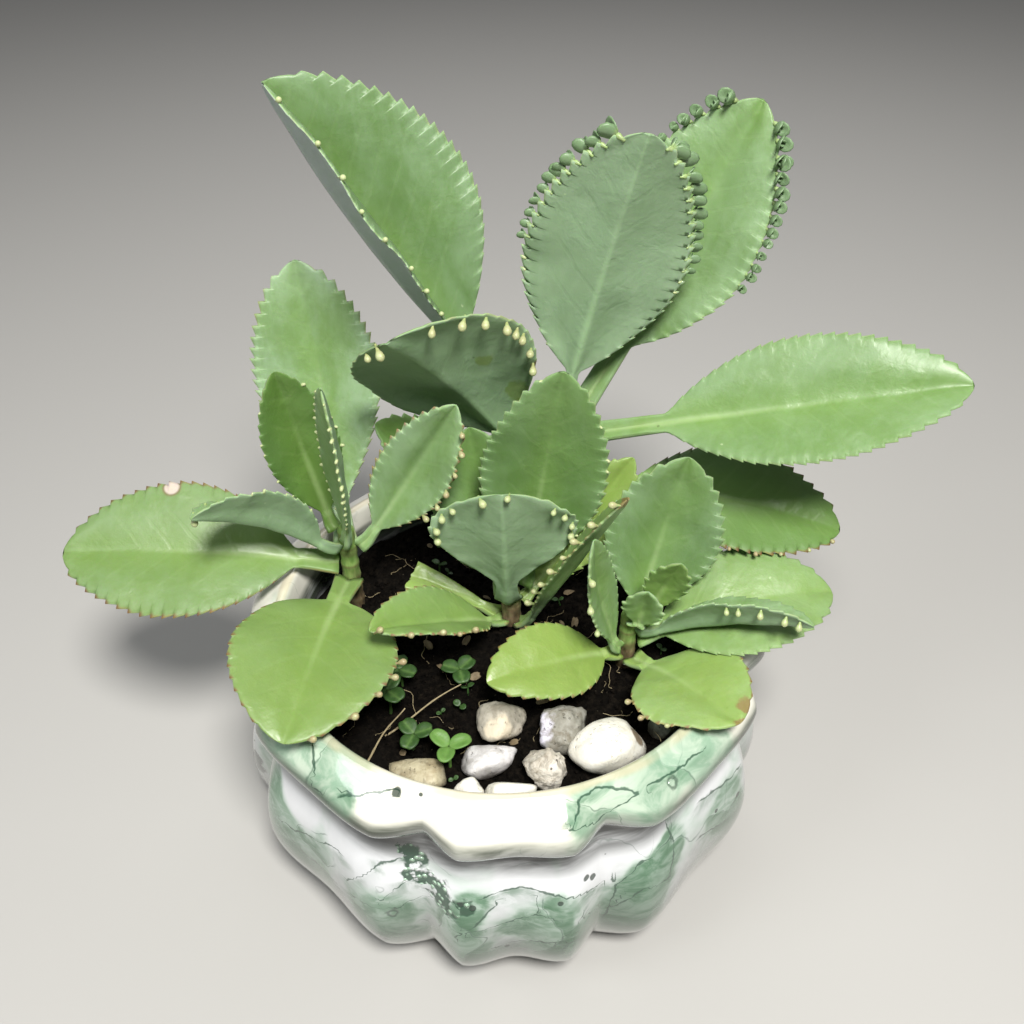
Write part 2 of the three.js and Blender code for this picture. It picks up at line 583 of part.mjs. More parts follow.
// Dry grass stalks: both ends, the lower one in the soil
const STALKS = [
  { name: 'stalk_long', from: [-44, -45, 74], to: [-14, -31, 88] },
  { name: 'stalk_short', from: [-47, -56, 74], to: [-32, -44, 92] },
];
const STALK_RADIUS = 0.5;
STALKS.forEach((stalk) => addMesh(
  stalk.name, toGeometry(orientedSolid(rod(vec(stalk.from), vec(stalk.to), STALK_RADIUS))), 'straw', 0.8));

// Soil: an uneven bed with plain holes where stems, seedlings, stalks and pebbles sit
const SOIL_RINGS = [14, 28, 42, 55, 66, 73];
const SOIL_COLUMNS = 28;
const SOIL_WALL_GAP = 1;
const SOIL_SHOULDER = 3;
const HUMP_HEIGHT = 1.2;
const RIPPLE_HEIGHT = 0.6;
const HUMP_WAVES = [0.11, 0.13];
const HUMP_START = 1;
const RIPPLE_WAVES = [0.31, 0.23];
const HOLE_MARGIN = 1;
function soilHeight(x, y) {
  const hump = Math.sin(x * HUMP_WAVES[0] + HUMP_START) * Math.cos(y * HUMP_WAVES[1]);
  const ripple = Math.sin(x * RIPPLE_WAVES[0] + y * RIPPLE_WAVES[1]);
  return SOIL_LEVEL + HUMP_HEIGHT * hump + RIPPLE_HEIGHT * ripple;
}

function makeSoil() {
  const angles = columnAngles(SOIL_COLUMNS);
  const ringAt = (radius, z) => angles.map((angle) => onCircle(radius, angle, z));
  const wall = [CAVITY_FLOOR + GAP, SOIL_LEVEL / 2, SOIL_LEVEL - SOIL_SHOULDER].map((z) =>
    ringAt(insideRadius(z) - SOIL_WALL_GAP, z));
  const top = [...SOIL_RINGS].reverse().map((radius) =>
    ringAt(radius, 0).map((point) => point.setZ(soilHeight(point.x, point.y))));
  let soil = orientedSolid(skinOverRings(
    new THREE.Vector3(0, 0, CAVITY_FLOOR + GAP), [...wall, ...top],
    new THREE.Vector3(0, 0, soilHeight(0, 0))));
  const holes = [
    ...Object.values(STEMS).map((stem) => makeStem(stem, GAP)),
    ...PEBBLES.map((pebble, index) => makePebble(pebble, index, GAP)),
    ...SEEDLINGS.map(({ at }) => rod(
      new THREE.Vector3(...at, SOIL_LEVEL - SEEDLING_DEPTH - HOLE_MARGIN),
      new THREE.Vector3(...at, SOIL_LEVEL + SEEDLING_DEPTH), SEEDLING_STEM + GAP)),
    ...STALKS.map(({ from, to }) => {
      const low = vec(from).addScaledVector(vec(to).sub(vec(from)).normalize(), -HOLE_MARGIN);
      return rod(low, vec(to), STALK_RADIUS + GAP);
    }),
  ];
  holes.forEach((hole) => {
    soil = soil.subtract(orientedSolid(hole));
  });
  return toGeometry(soil);
}

addMesh('soil', makeSoil(), 'soil', 1);

export default group;
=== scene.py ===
# Potted mother of thousands: a lobed bowl planter in marbled glaze, filled with dark soil, with four
# young succulents whose toothed leaves carry plantlets, loose pebbles, clover and dry grass.
import math
import random

import bmesh
import bpy
from mathutils import Matrix, Vector, noise


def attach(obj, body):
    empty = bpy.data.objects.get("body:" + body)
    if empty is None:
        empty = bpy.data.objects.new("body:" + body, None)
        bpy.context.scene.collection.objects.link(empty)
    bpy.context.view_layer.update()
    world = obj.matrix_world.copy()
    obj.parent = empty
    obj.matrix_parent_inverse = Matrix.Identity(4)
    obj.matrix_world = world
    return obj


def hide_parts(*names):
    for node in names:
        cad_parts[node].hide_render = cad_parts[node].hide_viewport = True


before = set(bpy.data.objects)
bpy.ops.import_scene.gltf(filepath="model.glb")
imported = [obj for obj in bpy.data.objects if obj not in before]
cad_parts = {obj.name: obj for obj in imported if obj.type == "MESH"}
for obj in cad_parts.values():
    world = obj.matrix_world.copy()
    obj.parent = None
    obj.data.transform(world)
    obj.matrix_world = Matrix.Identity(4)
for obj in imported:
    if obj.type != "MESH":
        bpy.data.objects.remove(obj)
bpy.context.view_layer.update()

# Sizes are in millimetres, as on the drawing, and become metres when a mesh is made
MM = 0.001
TAU = 2 * math.pi
UP = Vector((0, 0, 1))

# The pot
POT_HEIGHT = 95
LIP_RADIUS = 78
LOBES = 8
LOBE_CENTRE = math.radians(2.8)
LOBE_CORNER = 0.61
LOBE_FACE_DIP = 0.57
VALLEY_CREASE = 0.68
# Every other lobe, beginning with the front one, is narrower than the rest
NARROWING = math.radians(3.9)
# The faces of the collar's lobes are flatter than those of the body
COLLAR_FACE_DIP = 0.3
# Whole turns added so that an angle is never negative
WHOLE_TURNS = 100
CAVITY_FLOOR = 9
SOIL_LEVEL = 76
# Height, radius at a lobe's corner and radius in the valley between two lobes
POT_OUTLINE = [
    (0, 78, 74), (3, 84, 79), (12, 92, 85), (24, 96.5, 89), (38, 97, 90), (52, 94.5, 89),
    (64, 89.5, 86), (71, 86.5, 83.5), (76, 88.5, 82.5), (80, 93, 86), (85, 94, 87),
    (90, 90, 85.5), (POT_HEIGHT, 81.5, 80.5),
]
POT_INSIDE = [(POT_HEIGHT - 1, LIP_RADIUS), (84, 76), (40, 74), (CAVITY_FLOOR, 62)]

# The plants
STEMS = {
    "left": {"foot": (-57, 20), "top": (-57, 20, 116), "radius": 3.6},
    "back": {"foot": (17, 48), "top": (14, 42, 152), "radius": 4.2},
    "middle": {"foot": (3, 9), "top": (3, 9, 96), "radius": 3.8},
    "right": {"foot": (44, -11), "top": (44, -11, 104), "radius": 3.4},
}
STEM_TAPER = 0.8
STEM_DEPTH = 14
STEM_RIDGE = 0.03
GAP = 0.35
RIB_THICKNESS = 2.4
EDGE_THICKNESS = 1.1
STALK_CLEARANCE = 0.8
STALK_SHARE = 0.16
STALK_WIDTHS = (4, 9)
TOOTH_DEPTH = 1.5
WIDEST = 0.48
TIP_FULLNESS = 0.62
BASE_FULLNESS = 0.78
RIGHT = 1
LEFT = -1
FRONT_UP = (0, -0.76, 0.65)


def leaf(plant, node, tip, face, width, bow, cup, petiole, plantlets=(), **looks):
    """What sets one leaf apart: its plant, the height of its node, its tip, the way its upper side faces,
    its width, how far the midrib bows, how far each half is folded up, the share of its stalk, and its
    rows of plantlets. jag is the share of a full tooth, nubs the share of notches with a small bud.
    yellow, deep, bloom and aged are shares for its colour."""
    form = dict(plant=plant, node=node, tip=tip, face=face, width=width, bow=bow, cup=cup, petiole=petiole,
                plantlets=plantlets, widest=WIDEST, base=BASE_FULLNESS, stalk=None, leaflets=False,
                hang=False, cut=False, jag=0.7, nubs=0.0, yellow=0.0, deep=0.0, bloom=0.5, aged=0.2)
    form.update(looks)
    return form


LEAVES = {
    "leaf_left_reaching": leaf("left", 97, (-159, 14, 107), (0, -0.45, 1), 52, 5, (10, 8), 0.14,
                               yellow=0.3, deep=0.6, bloom=0.3, aged=1.0),
    "leaf_left_tall": leaf("left", 103, (-71, 64, 197), FRONT_UP, 44, -8, (12, 12), 0.12, widest=0.55,
                           jag=1.0, bloom=1.0, aged=0.5),
    "leaf_left_inner": leaf("left", 112, (-75, 28, 175), (0.35, -0.9, 0.3), 27, -4, (10, 18), 0.1,
                            jag=0.35, nubs=0.5, deep=1.0, bloom=0.0),
    "leaf_left_edge": leaf("left", 110, (-54, 0, 187), (-0.9, -0.5, 0.1), 20, -2, (16, 16), 0.1,
                           jag=0.5, nubs=0.9, deep=0.1, bloom=0.6),
    "leaf_left_folded": leaf("left", 105, (-101, -6, 140), (-0.1, 0.75, 0.7), 30, 4, (35, 35), 0.12,
                             [(RIGHT, 0.3, 0.95, 6)], hang=True, jag=0.5, nubs=0.3, bloom=0.6),
    "leaf_left_leaning": leaf("left", 105, (-15, 22, 166), (-0.3, -0.9, 0.3), 28, -5, (15, 30), 0.12,
                              [(RIGHT, 0.3, 0.9, 6)], jag=0.8, bloom=0.75, aged=0.9),
    "leaf_left_drooping": leaf("left", 91, (-67, -64, 99), (0.1, -0.35, 1), 55, 6, (8, 8), 0.2,
                               [(LEFT, 0.45, 0.95, 5)], base=0.6, jag=0.35, yellow=0.5, deep=0.45,
                               bloom=0.15, aged=1.0),
    "leaf_back_left": leaf("back", 140, (-70, 52, 259), (0.3, -0.9, 0.45), 74, -6, (8, 84), 0.28,
                           [(LEFT, 0.2, 0.95, 8)], stalk=9, jag=0.8, deep=0.8, bloom=0.5),
    "leaf_back_centre": leaf("back", 146, (43, 38, 249), (0, 0.95, -0.1), 53, 5, (10, 10), 0.18,
                             [(RIGHT, 0.5, 0.97, 7), (LEFT, 0.5, 0.97, 7)], stalk=4.6, leaflets=True,
                             jag=1.0, nubs=0.4, bloom=0.7),
    "leaf_back_rear": leaf("back", 132, (83, 74, 247), (-0.3, -0.8, 0.5), 52, -6, (14, 14), 0.32,
                           [(RIGHT, 0.45, 0.97, 7), (LEFT, 0.75, 0.97, 4)], leaflets=True, jag=0.8,
                           deep=0.3, bloom=0.6),
    "leaf_back_right": leaf("back", 138, (148, 12, 180), (-0.1, -0.55, 0.85), 46, 1, (16, 16), 0.28,
                            jag=0.6, deep=0.4, bloom=0.4),
    "leaf_back_low_right": leaf("back", 116, (123, 22, 111), (0.1, -0.4, 0.9), 42, 8, (10, 10), 0.25,
                                [(RIGHT, 0.5, 0.95, 5)], jag=0.8, deep=0.5, bloom=0.1, aged=1.0),
    "leaf_back_hood": leaf("back", 128, (-35, 12, 195), (0.35, 0.9, -0.3), 64, 6, (12, 12), 0.2,
                           [(LEFT, 0.35, 0.9, 8), (RIGHT, 0.93, 0.97, 2)], widest=0.55, base=0.65,
                           stalk=7.5, hang=True, jag=0.3, deep=0.1, bloom=0.35, aged=0.5),
    "leaf_back_low_left": leaf("back", 106, (-46, 42, 144), (0.2, -0.5, 0.8), 26, -4, (12, 12), 0.2,
                               deep=0.8, bloom=0.1),
    "leaf_middle_tall": leaf("middle", 94, (20, 22, 179), FRONT_UP, 44, -4, (14, 14), 0.1,
                             jag=0.75, nubs=0.25, deep=0.75, bloom=0.25),
    "leaf_middle_left": leaf("middle", 88, (-12, 36, 147), FRONT_UP, 40, -4, (14, 14), 0.1, widest=0.42,
                             jag=0.6, deep=0.6, bloom=0.3),
    "leaf_middle_hood": leaf("middle", 92, (0, -4, 149), (0, 0.9, 0.1), 50, -2, (8, 8), 0.17,
                             [(RIGHT, 0.55, 0.97, 5), (LEFT, 0.55, 0.97, 5)], widest=0.62, hang=True,
                             jag=0.4, deep=0.2, bloom=0.75),
    "leaf_middle_slanted": leaf("middle", 79, (38, -24, 164), (-0.73, 0.25, 0.65), 15, 0, (30, 30), 0.1,
                                [(RIGHT, 0.15, 0.95, 8)], jag=0.4, yellow=0.5, bloom=0.2, aged=0.6),
    "leaf_middle_low_left": leaf("middle", 80, (-43, -30, 113), (0.1, -0.05, 1), 27, 2, (25, 25), 0.1,
                                 [(LEFT, 0.4, 0.97, 5)], jag=0.45, yellow=0.4, bloom=0.2, aged=1.0),
    "leaf_middle_yellow": leaf("middle", 86, (47, 34, 135), FRONT_UP, 24, -3, (14, 14), 0.1,
                               yellow=0.8, bloom=0.1, aged=0.2),
    "leaf_middle_stub": leaf("middle", 80, (-34, 17, 92), (0, -0.3, 1), 13, 2, (16, 16), 0.2,
                             cut=True, jag=0.0, yellow=0.8, bloom=0.1, aged=0.6),
    "leaf_right_tall": leaf("right", 94, (62, 12, 152), FRONT_UP, 40, -5, (14, 14), 0.08,
                            jag=0.85, deep=0.75, bloom=0.4),
    "leaf_right_narrow": leaf("right", 88, (28, -27, 150), (0.8, -0.6, 0.2), 16, -3, (16, 16), 0.08,
                              [(LEFT, 0.3, 0.8, 3)], jag=0.3, deep=0.1, bloom=0.6),
    "leaf_right_small": leaf("right", 100, (48, -19, 120), (-0.2, -0.8, 0.4), 14, -1, (14, 14), 0.08,
                             jag=0.6, deep=0.25, bloom=0.5),
    "leaf_right_young": leaf("right", 98, (59, -13, 127), (0, -0.85, 0.45), 14, -3, (10, 10), 0.2,
                             jag=0.9, yellow=0.15, deep=0.3, bloom=0.1),
    "leaf_right_wide": leaf("right", 89, (115, -4, 105), (0, -0.22, 1), 42, 7, (8, 8), 0.1,
                            jag=0.6, yellow=0.3, bloom=0.4),
    "leaf_right_folded": leaf("right", 94, (100, -32, 117), (-0.1, 0.7, 0.8), 24, 3, (35, 35), 0.1,
                              [(RIGHT, 0.5, 0.95, 5)], hang=True, jag=0.5, deep=0.15, bloom=0.7),
    "leaf_right_low": leaf("right", 82, (75, -56, 99), (-0.05, -0.15, 1), 40, 3, (8, 4), 0.14,
                           [(RIGHT, 0.3, 0.7, 3)], jag=0.35, yellow=0.75, bloom=0.35, aged=1.0),
    "leaf_right_yellow": leaf("right", 84, (-5, -38, 97), (0, -0.3, 1), 29, 4, (8, 8), 0.1,
                              jag=0.5, yellow=0.9, deep=0.4, bloom=0.05, aged=0.9),
}
YELLOW_NODES = {"leaf_middle_yellow", "leaf_middle_stub", "leaf_right_low", "leaf_right_yellow"}

# Pebbles: place, three widths, turn in degrees, unevenness and finish
PEBBLES = {
    "pebble_grey": ((-1, -42, 82), (18, 16, 15), 20, 0.1, "grey stone"),
    "pebble_oblong": ((-4, -56, 80), (19, 11, 10), 8, 0.06, "white quartz"),
    "pebble_tall_grey": ((20, -44, 81), (16, 20, 16), -35, 0.14, "grey quartz"),
    "pebble_crusty": ((15, -61, 82), (14, 13, 15), 10, 0.16, "crusty limestone"),
    "pebble_smooth_white": ((35, -53, 82), (26, 17, 18), 30, 0.04, "smooth cream stone"),
    "pebble_brown_cream": ((-26, -61, 79), (20, 13, 12), -22, 0.06, "brown cream stone"),
    "pebble_small_cream": ((-11, -67, 79), (10, 9, 9), 0, 0.08, "smooth cream stone"),
    "pebble_cream": ((3, -69, 80), (17, 8, 11), 3, 0.05, "smooth cream stone"),
    "pebble_grey_green": ((54, -42, 79), (10, 9, 9), 0, 0.1, "grey green stone"),
    "pebble_rear": ((-17, 5, 80), (9, 11, 8), 30, 0.14, "crusty limestone"),
}
# Clover: place, height, leaflet width, turn in degrees, roundness and whether it is lit; the others get a
# darker copy with painted shade
SEEDLINGS = {
    "seedling_front": ((-17, -56), 11, 8, 20, 0.72, True),
    "seedling_left": ((-39, -33), 11, 8, 75, 0.9, False),
    "seedling_shaded": ((-29, -48), 7, 7, 10, 0.9, False),
    "seedling_inner": ((-15, -22), 9, 7, 45, 0.9, False),
    "seedling_wall": ((-36, -22), 9, 7, 95, 0.9, False),
}
STALKS = {
    "stalk_long": ((-44, -45, 74), (-14, -31, 88)),
    "stalk_short": ((-47, -56, 74), (-32, -44, 92)),
}

# Small helpers


def lerp(a, b, share):
    return a + (b - a) * share


def clamp(value, low=0.0, high=1.0):
    return max(low, min(high, value))


def smooth_step(low, high, value):
    share = clamp((value - low) / (high - low))
    return share * share * (3 - 2 * share)


def on_circle(radius, angle, z=0.0):
    """Angles are measured from the front, turning towards +X."""
    return Vector((radius * math.sin(angle), -radius * math.cos(angle), z))


def through(rows, z, column=1):
    """The value in a column of rows sorted by their first entry, smooth between rows."""
    rows = sorted(rows)
    if z <= rows[0][0]:
        return rows[0][column]
    if z >= rows[-1][0]:
        return rows[-1][column]
    i = next(k for k in range(len(rows) - 1) if rows[k + 1][0] >= z)
    z0, z1 = rows[i][0], rows[i + 1][0]
    p0, p1 = rows[i][column], rows[i + 1][column]
    before = rows[max(i - 1, 0)]
    after = rows[min(i + 2, len(rows) - 1)]
    m0 = (p1 - before[column]) / max(z1 - before[0], 1e-6) * (z1 - z0)
    m1 = (after[column] - p0) / max(after[0] - z0, 1e-6) * (z1 - z0)
    t = (z - z0) / (z1 - z0)
    return ((2 * t**3 - 3 * t**2 + 1) * p0 + (t**3 - 2 * t**2 + t) * m0
            + (3 * t**2 - 2 * t**3) * p1 + (t**3 - t**2) * m1)


def face_dip(z):
    """How far the faces of the lobes lie back at a height, as a share."""
    return lerp(LOBE_FACE_DIP, COLLAR_FACE_DIP, smooth_step(70, 78, z))


def lobe_height(angle, dip):
    """1 at a lobe's corners, less on its face, 0 in the valley between two lobes."""
    away = angle - LOBE_CENTRE
    turns = (away + NARROWING * math.sin(away * LOBES / 2)) / (TAU / LOBES) + 0.5
    offset = abs(turns - math.floor(turns) - 0.5) * 2
    if offset < LOBE_CORNER:
        return 1 - dip * math.cos(offset / LOBE_CORNER * math.pi / 2) ** 2
    fall = (offset - LOBE_CORNER) / (1 - LOBE_CORNER)
    return lerp((1 + math.cos(math.pi * fall)) / 2, 1 - fall, VALLEY_CREASE)


def inside_radius(z):
    return through(POT_INSIDE, z)


def on_pot(degrees, z):
    """A place on the pot's outside, at an angle round from the front."""
    angle = math.radians(degrees)
    valley, corner = through(POT_OUTLINE, z, 2), through(POT_OUTLINE, z, 1)
    return on_circle(lerp(valley, corner, lobe_height(angle, face_dip(z))), angle, z)


def linked(name, data):
    """An object at the origin, made of a mesh, a camera or a light."""
    piece = bpy.data.objects.new(name, data)
    bpy.context.scene.collection.objects.link(piece)
    return piece


def new_piece(name, points, faces, values=None):
    """A mesh object at the origin. values holds one number a point for each named attribute."""
    mesh = bpy.data.meshes.new(name)
    mesh.from_pydata([p * MM for p in points], [], faces)
    for key, numbers in (values or {}).items():
        if isinstance(numbers[0], Vector):
            layer = mesh.attributes.new(key, "FLOAT_VECTOR", "POINT")
            layer.data.foreach_set("vector", [c for v in numbers for c in v])
        else:
            mesh.attributes.new(key, "FLOAT", "POINT").data.foreach_set("value", numbers)
    mesh.polygons.foreach_set("use_smooth", [True] * len(mesh.polygons))
    mesh.update()
    return linked(name, mesh)


def face_outwards(piece):
    """Turns the faces of a closed mesh outwards."""
    work = bmesh.new()
    work.from_mesh(piece.data)
    bmesh.ops.recalc_face_normals(work, faces=work.faces)
    work.to_mesh(piece.data)
    work.free()


def tube_faces(rows, count, poles=True):
    """Faces over closed rings of points. With poles, a first and a last point close the ends."""
    first = 1 if poles else 0
    at = lambda row, k: first + row * count + k % count
    faces = [(at(r, k), at(r, k + 1), at(r + 1, k + 1), at(r + 1, k))
             for r in range(rows - 1) for k in range(count)]
    if poles:
        end = first + rows * count
        faces += [(0, at(0, k + 1), at(0, k)) for k in range(count)]
        faces += [(at(rows - 1, k), at(rows - 1, k + 1), end) for k in range(count)]
    return faces


def tube(name, path, radii, sides, values=None):
    """A closed round tube along a path of points."""
    points = [path[0].copy()]
    side = None
    for i, middle in enumerate(path):
        ahead = (path[min(i + 1, len(path) - 1)] - path[max(i - 1, 0)]).normalized()
        if side is None:
            side = ahead.orthogonal().normalized()
        side = (side - ahead * side.dot(ahead)).normalized()
        other = ahead.cross(side)
        points += [middle + side * (radii[i] * math.cos(TAU * k / sides))
                   + other * (radii[i] * math.sin(TAU * k / sides)) for k in range(sides)]
    points.append(path[-1].copy())
    piece = new_piece(name, points, tube_faces(len(path), sides), values)
    face_outwards(piece)
    return piece


def remove(*pieces):
    for piece in pieces:
        bpy.data.objects.remove(piece, do_unlink=True)


def joined(name, pieces):
    """One object made of several meshes, each with its own material."""
    work = bmesh.new()
    materials = []
    for piece in pieces:
        start = len(work.faces)
        offset = len(materials)
        materials += list(piece.data.materials)
        work.from_mesh(piece.data)
        work.faces.ensure_lookup_table()
        for face in work.faces[start:]:
            face.material_index += offset
    mesh = bpy.data.meshes.new(name)
    work.to_mesh(mesh)
    work.free()
    for material in materials:
        mesh.materials.append(material)
    remove(*pieces)
    return linked(name, mesh)


# Node graphs


class Graph:
    """Adds nodes to a tree. A value may be a number, a colour, a vector or another node's output."""

    def __init__(self, tree):
        self.tree = tree

    def add(self, kind, inputs=None, **settings):
        made = self.tree.nodes.new(kind)
        for key, value in settings.items():
            setattr(made, key, value)
        for key, value in (inputs or {}).items():
            self.put(made.inputs[key], value)
        return made

    def put(self, socket, value):
        if isinstance(value, bpy.types.NodeSocket):
            self.tree.links.new(value, socket)
        elif socket.type == "RGBA" and len(value) == 3:
            socket.default_value = (*value, 1)
        else:
            socket.default_value = value

    def math(self, operation, a, b=0.0, use_clamp=False):
        return self.add("ShaderNodeMath", {0: a, 1: b}, operation=operation,
                        use_clamp=use_clamp).outputs[0]

    def times(self, first, *others):
        for other in others:
            first = self.math("MULTIPLY", first, other)
        return first

    def plus(self, first, *others):
        for other in others:
            first = self.math("ADD", first, other)
        return first

    def minus(self, a, b):
        return self.math("SUBTRACT", a, b)

    def vector(self, operation, a, b=(0, 0, 0)):
        made = self.add("ShaderNodeVectorMath", {0: a, 1: b}, operation=operation)
        return made.outputs["Value" if operation in ("LENGTH", "DISTANCE", "DOT_PRODUCT") else "Vector"]

    def scaled(self, vector, scale):
        return self.add("ShaderNodeVectorMath", {0: vector, "Scale": scale}, operation="SCALE").outputs[0]

    def mix(self, share, a, b, blend="MIX"):
        made = self.add("ShaderNodeMix", {0: share, 6: a, 7: b}, data_type="RGBA", blend_type=blend)
        return made.outputs[2]

    def over(self, colour, tint, *shares):
        """A tint laid over a colour, as strongly as the product of its shares."""
        return self.mix(self.times(*shares), colour, tint)

    def blend(self, share, a, b):
        return self.add("ShaderNodeMix", {0: share, 2: a, 3: b}, data_type="FLOAT").outputs[0]

    def remap(self, value, low, high, to_low=0.0, to_high=1.0):
        return self.add("ShaderNodeMapRange", {
            "Value": value, "From Min": low, "From Max": high, "To Min": to_low, "To Max": to_high,
        }, interpolation_type="SMOOTHSTEP").outputs[0]

    def noise(self, vector, scale, detail=3.0, roughness=0.5, distortion=0.0, colour=False):
        made = self.add("ShaderNodeTexNoise", {
            "Vector": vector, "Scale": scale, "Detail": detail, "Roughness": roughness,
            "Distortion": distortion})
        return made.outputs[1 if colour else 0]

    def cells(self, vector, scale, feature="F1", output="Distance"):
        made = self.add("ShaderNodeTexVoronoi", {"Vector": vector, "Scale": scale}, feature=feature)
        return made.outputs[output]

    def attribute(self, name):
        return self.add("ShaderNodeAttribute", attribute_name=name).outputs["Fac"]

    def place(self):
        return self.add("ShaderNodeTexCoord").outputs["Object"]

    def height(self, place):
        return self.add("ShaderNodeSeparateXYZ", {0: place}).outputs[2]

    def bump(self, height, distance):
        return self.add("ShaderNodeBump", {
            "Height": height, "Distance": distance, "Strength": 1.0}).outputs[0]

    def group(self, tree, inputs):
        made = self.add("ShaderNodeGroup", node_tree=tree)
        for key, value in inputs.items():
            self.put(made.inputs[key], value)
        return made.outputs

    def mask(self, tree, place, **inputs):
        """The mask of one of the groups below."""
        named = {key.replace("_", " "): value for key, value in inputs.items()}
        return self.group(tree, {"Place": place, **named})["Mask"]

    def stored(self, name, kind="FLOAT"):
        """An attribute's value, in a geometry tree."""
        return self.add("GeometryNodeInputNamedAttribute", {"Name": name}, data_type=kind).outputs[0]


def new_group(name, kind, inputs, outputs):
    """A node group with named inputs and outputs. inputs holds (name, socket kind, default)."""
    tree = bpy.data.node_groups.new(name, kind)
    for key, socket_kind, default in inputs:
        socket = tree.interface.new_socket(key, in_out="INPUT", socket_type=socket_kind)
        if default is not None:
            socket.default_value = default
    for key, socket_kind in outputs:
        tree.interface.new_socket(key, in_out="OUTPUT", socket_type=socket_kind)
    graph = Graph(tree)
    given = tree.nodes.new("NodeGroupInput").outputs
    result = tree.nodes.new("NodeGroupOutput").inputs
    return graph, given, result


def new_material(name, **settings):
    """A Principled material whose constant values sit on the shader's own sockets."""
    material = bpy.data.materials.new(name)
    material.use_nodes = True
    graph = Graph(material.node_tree)
    shader = material.node_tree.nodes["Principled BSDF"]
    for key, value in settings.items():
        graph.put(shader.inputs[key.replace("_", " ")], value)
    return material, graph, shader.inputs


FLOAT = "NodeSocketFloat"
VECTOR = "NodeSocketVector"
MATERIAL = "NodeSocketMaterial"


def make_mottle_group():
    """Soft cloudy patches at two scales."""
    graph, given, result = new_group("Mottle", "ShaderNodeTree", [
        ("Place", VECTOR, None), ("Scale", FLOAT, 80.0), ("Contrast", FLOAT, 0.3)], [("Mask", FLOAT)])
    coarse = graph.noise(given["Place"], given["Scale"], 4.0, 0.6, 0.6)
    fine = graph.noise(given["Place"], graph.times(given["Scale"], 5.3), 3.0, 0.6)
    cloud = graph.blend(0.3, coarse, fine)
    low = graph.minus(0.5, given["Contrast"])
    high = graph.plus(0.5, given["Contrast"])
    graph.put(result["Mask"], graph.remap(cloud, low, high))
    return graph.tree


def make_spot_group():
    """A spot with an uneven border round a centre, 1 inside and 0 outside."""
    graph, given, result = new_group("Placed spot", "ShaderNodeTree", [
        ("Place", VECTOR, None), ("Centre", VECTOR, (0, 0, 0)), ("Radius", FLOAT, 0.003),
        ("Ragged", FLOAT, 0.3)], [("Mask", FLOAT)])
    away = graph.vector("DISTANCE", given["Place"], given["Centre"])
    share = graph.math("DIVIDE", away, given["Radius"])
    wobble = graph.minus(graph.noise(given["Place"], 260.0, 2.0), 0.5)
    share = graph.plus(share, graph.times(wobble, graph.times(given["Ragged"], 4.0)))
    graph.put(result["Mask"], graph.remap(share, 0.75, 1.1, 1.0, 0.0))
    return graph.tree


def make_speck_group():
    """Small scattered specks, a share of all the cells of a pattern."""
    graph, given, result = new_group("Specks", "ShaderNodeTree", [
        ("Place", VECTOR, None), ("Scale", FLOAT, 300.0), ("Size", FLOAT, 0.2), ("Share", FLOAT, 0.2)],
        [("Mask", FLOAT)])
    bent = graph.vector("ADD", given["Place"], graph.scaled(
        graph.noise(given["Place"], 500.0, 1.0, colour=True), 0.0012))
    near = graph.cells(bent, given["Scale"])
    pick = graph.add("ShaderNodeSeparateColor", {0: graph.cells(bent, given["Scale"], output="Color")})
    chosen = graph.math("LESS_THAN", pick.outputs[0], given["Share"])
    dot = graph.remap(near, given["Size"], graph.times(given["Size"], 0.6))
    graph.put(result["Mask"], graph.times(dot, chosen))
    return graph.tree


def make_marbling_group():
    """Bands as in agate: each starts at a crisp line and fades away from it."""
    graph, given, result = new_group("Marbling", "ShaderNodeTree", [
        ("Place", VECTOR, None), ("Scale", FLOAT, 20.0), ("Swirl", FLOAT, 0.02), ("Bands", FLOAT, 3.0),
        ("Line Width", FLOAT, 0.02)], [("Wash", FLOAT), ("Line", FLOAT)])
    middle = (0.5, 0.5, 0.5)
    drift = graph.vector("SUBTRACT", graph.noise(given["Place"], 22.0, 2.0, colour=True), middle)
    curl = graph.vector("SUBTRACT", graph.noise(given["Place"], 80.0, 3.0, colour=True), middle)
    moved = graph.vector("ADD", given["Place"], graph.scaled(drift, given["Swirl"]))
    moved = graph.vector("ADD", moved, graph.scaled(curl, graph.times(given["Swirl"], 0.22)))
    field = graph.noise(moved, given["Scale"], 1.5, 0.4)
    saw = graph.math("FRACT", graph.times(field, given["Bands"]))
    graph.put(result["Wash"], graph.times(graph.math("POWER", graph.minus(1.0, saw), 1.4),
                                          graph.remap(saw, 0.0, 0.03)))
    away = graph.math("DIVIDE", graph.math("MINIMUM", saw, graph.minus(1.0, saw)), given["Bands"])
    width = graph.times(given["Line Width"],
                        graph.remap(graph.noise(given["Place"], 130.0, 2.0), 0.3, 0.7, 0.3, 1.5))
    graph.put(result["Line"], graph.remap(away, 0.0, width, 1.0, 0.0))
    return graph.tree


MOTTLE = make_mottle_group()
SPOT = make_spot_group()
SPECKS = make_speck_group()
MARBLING = make_marbling_group()

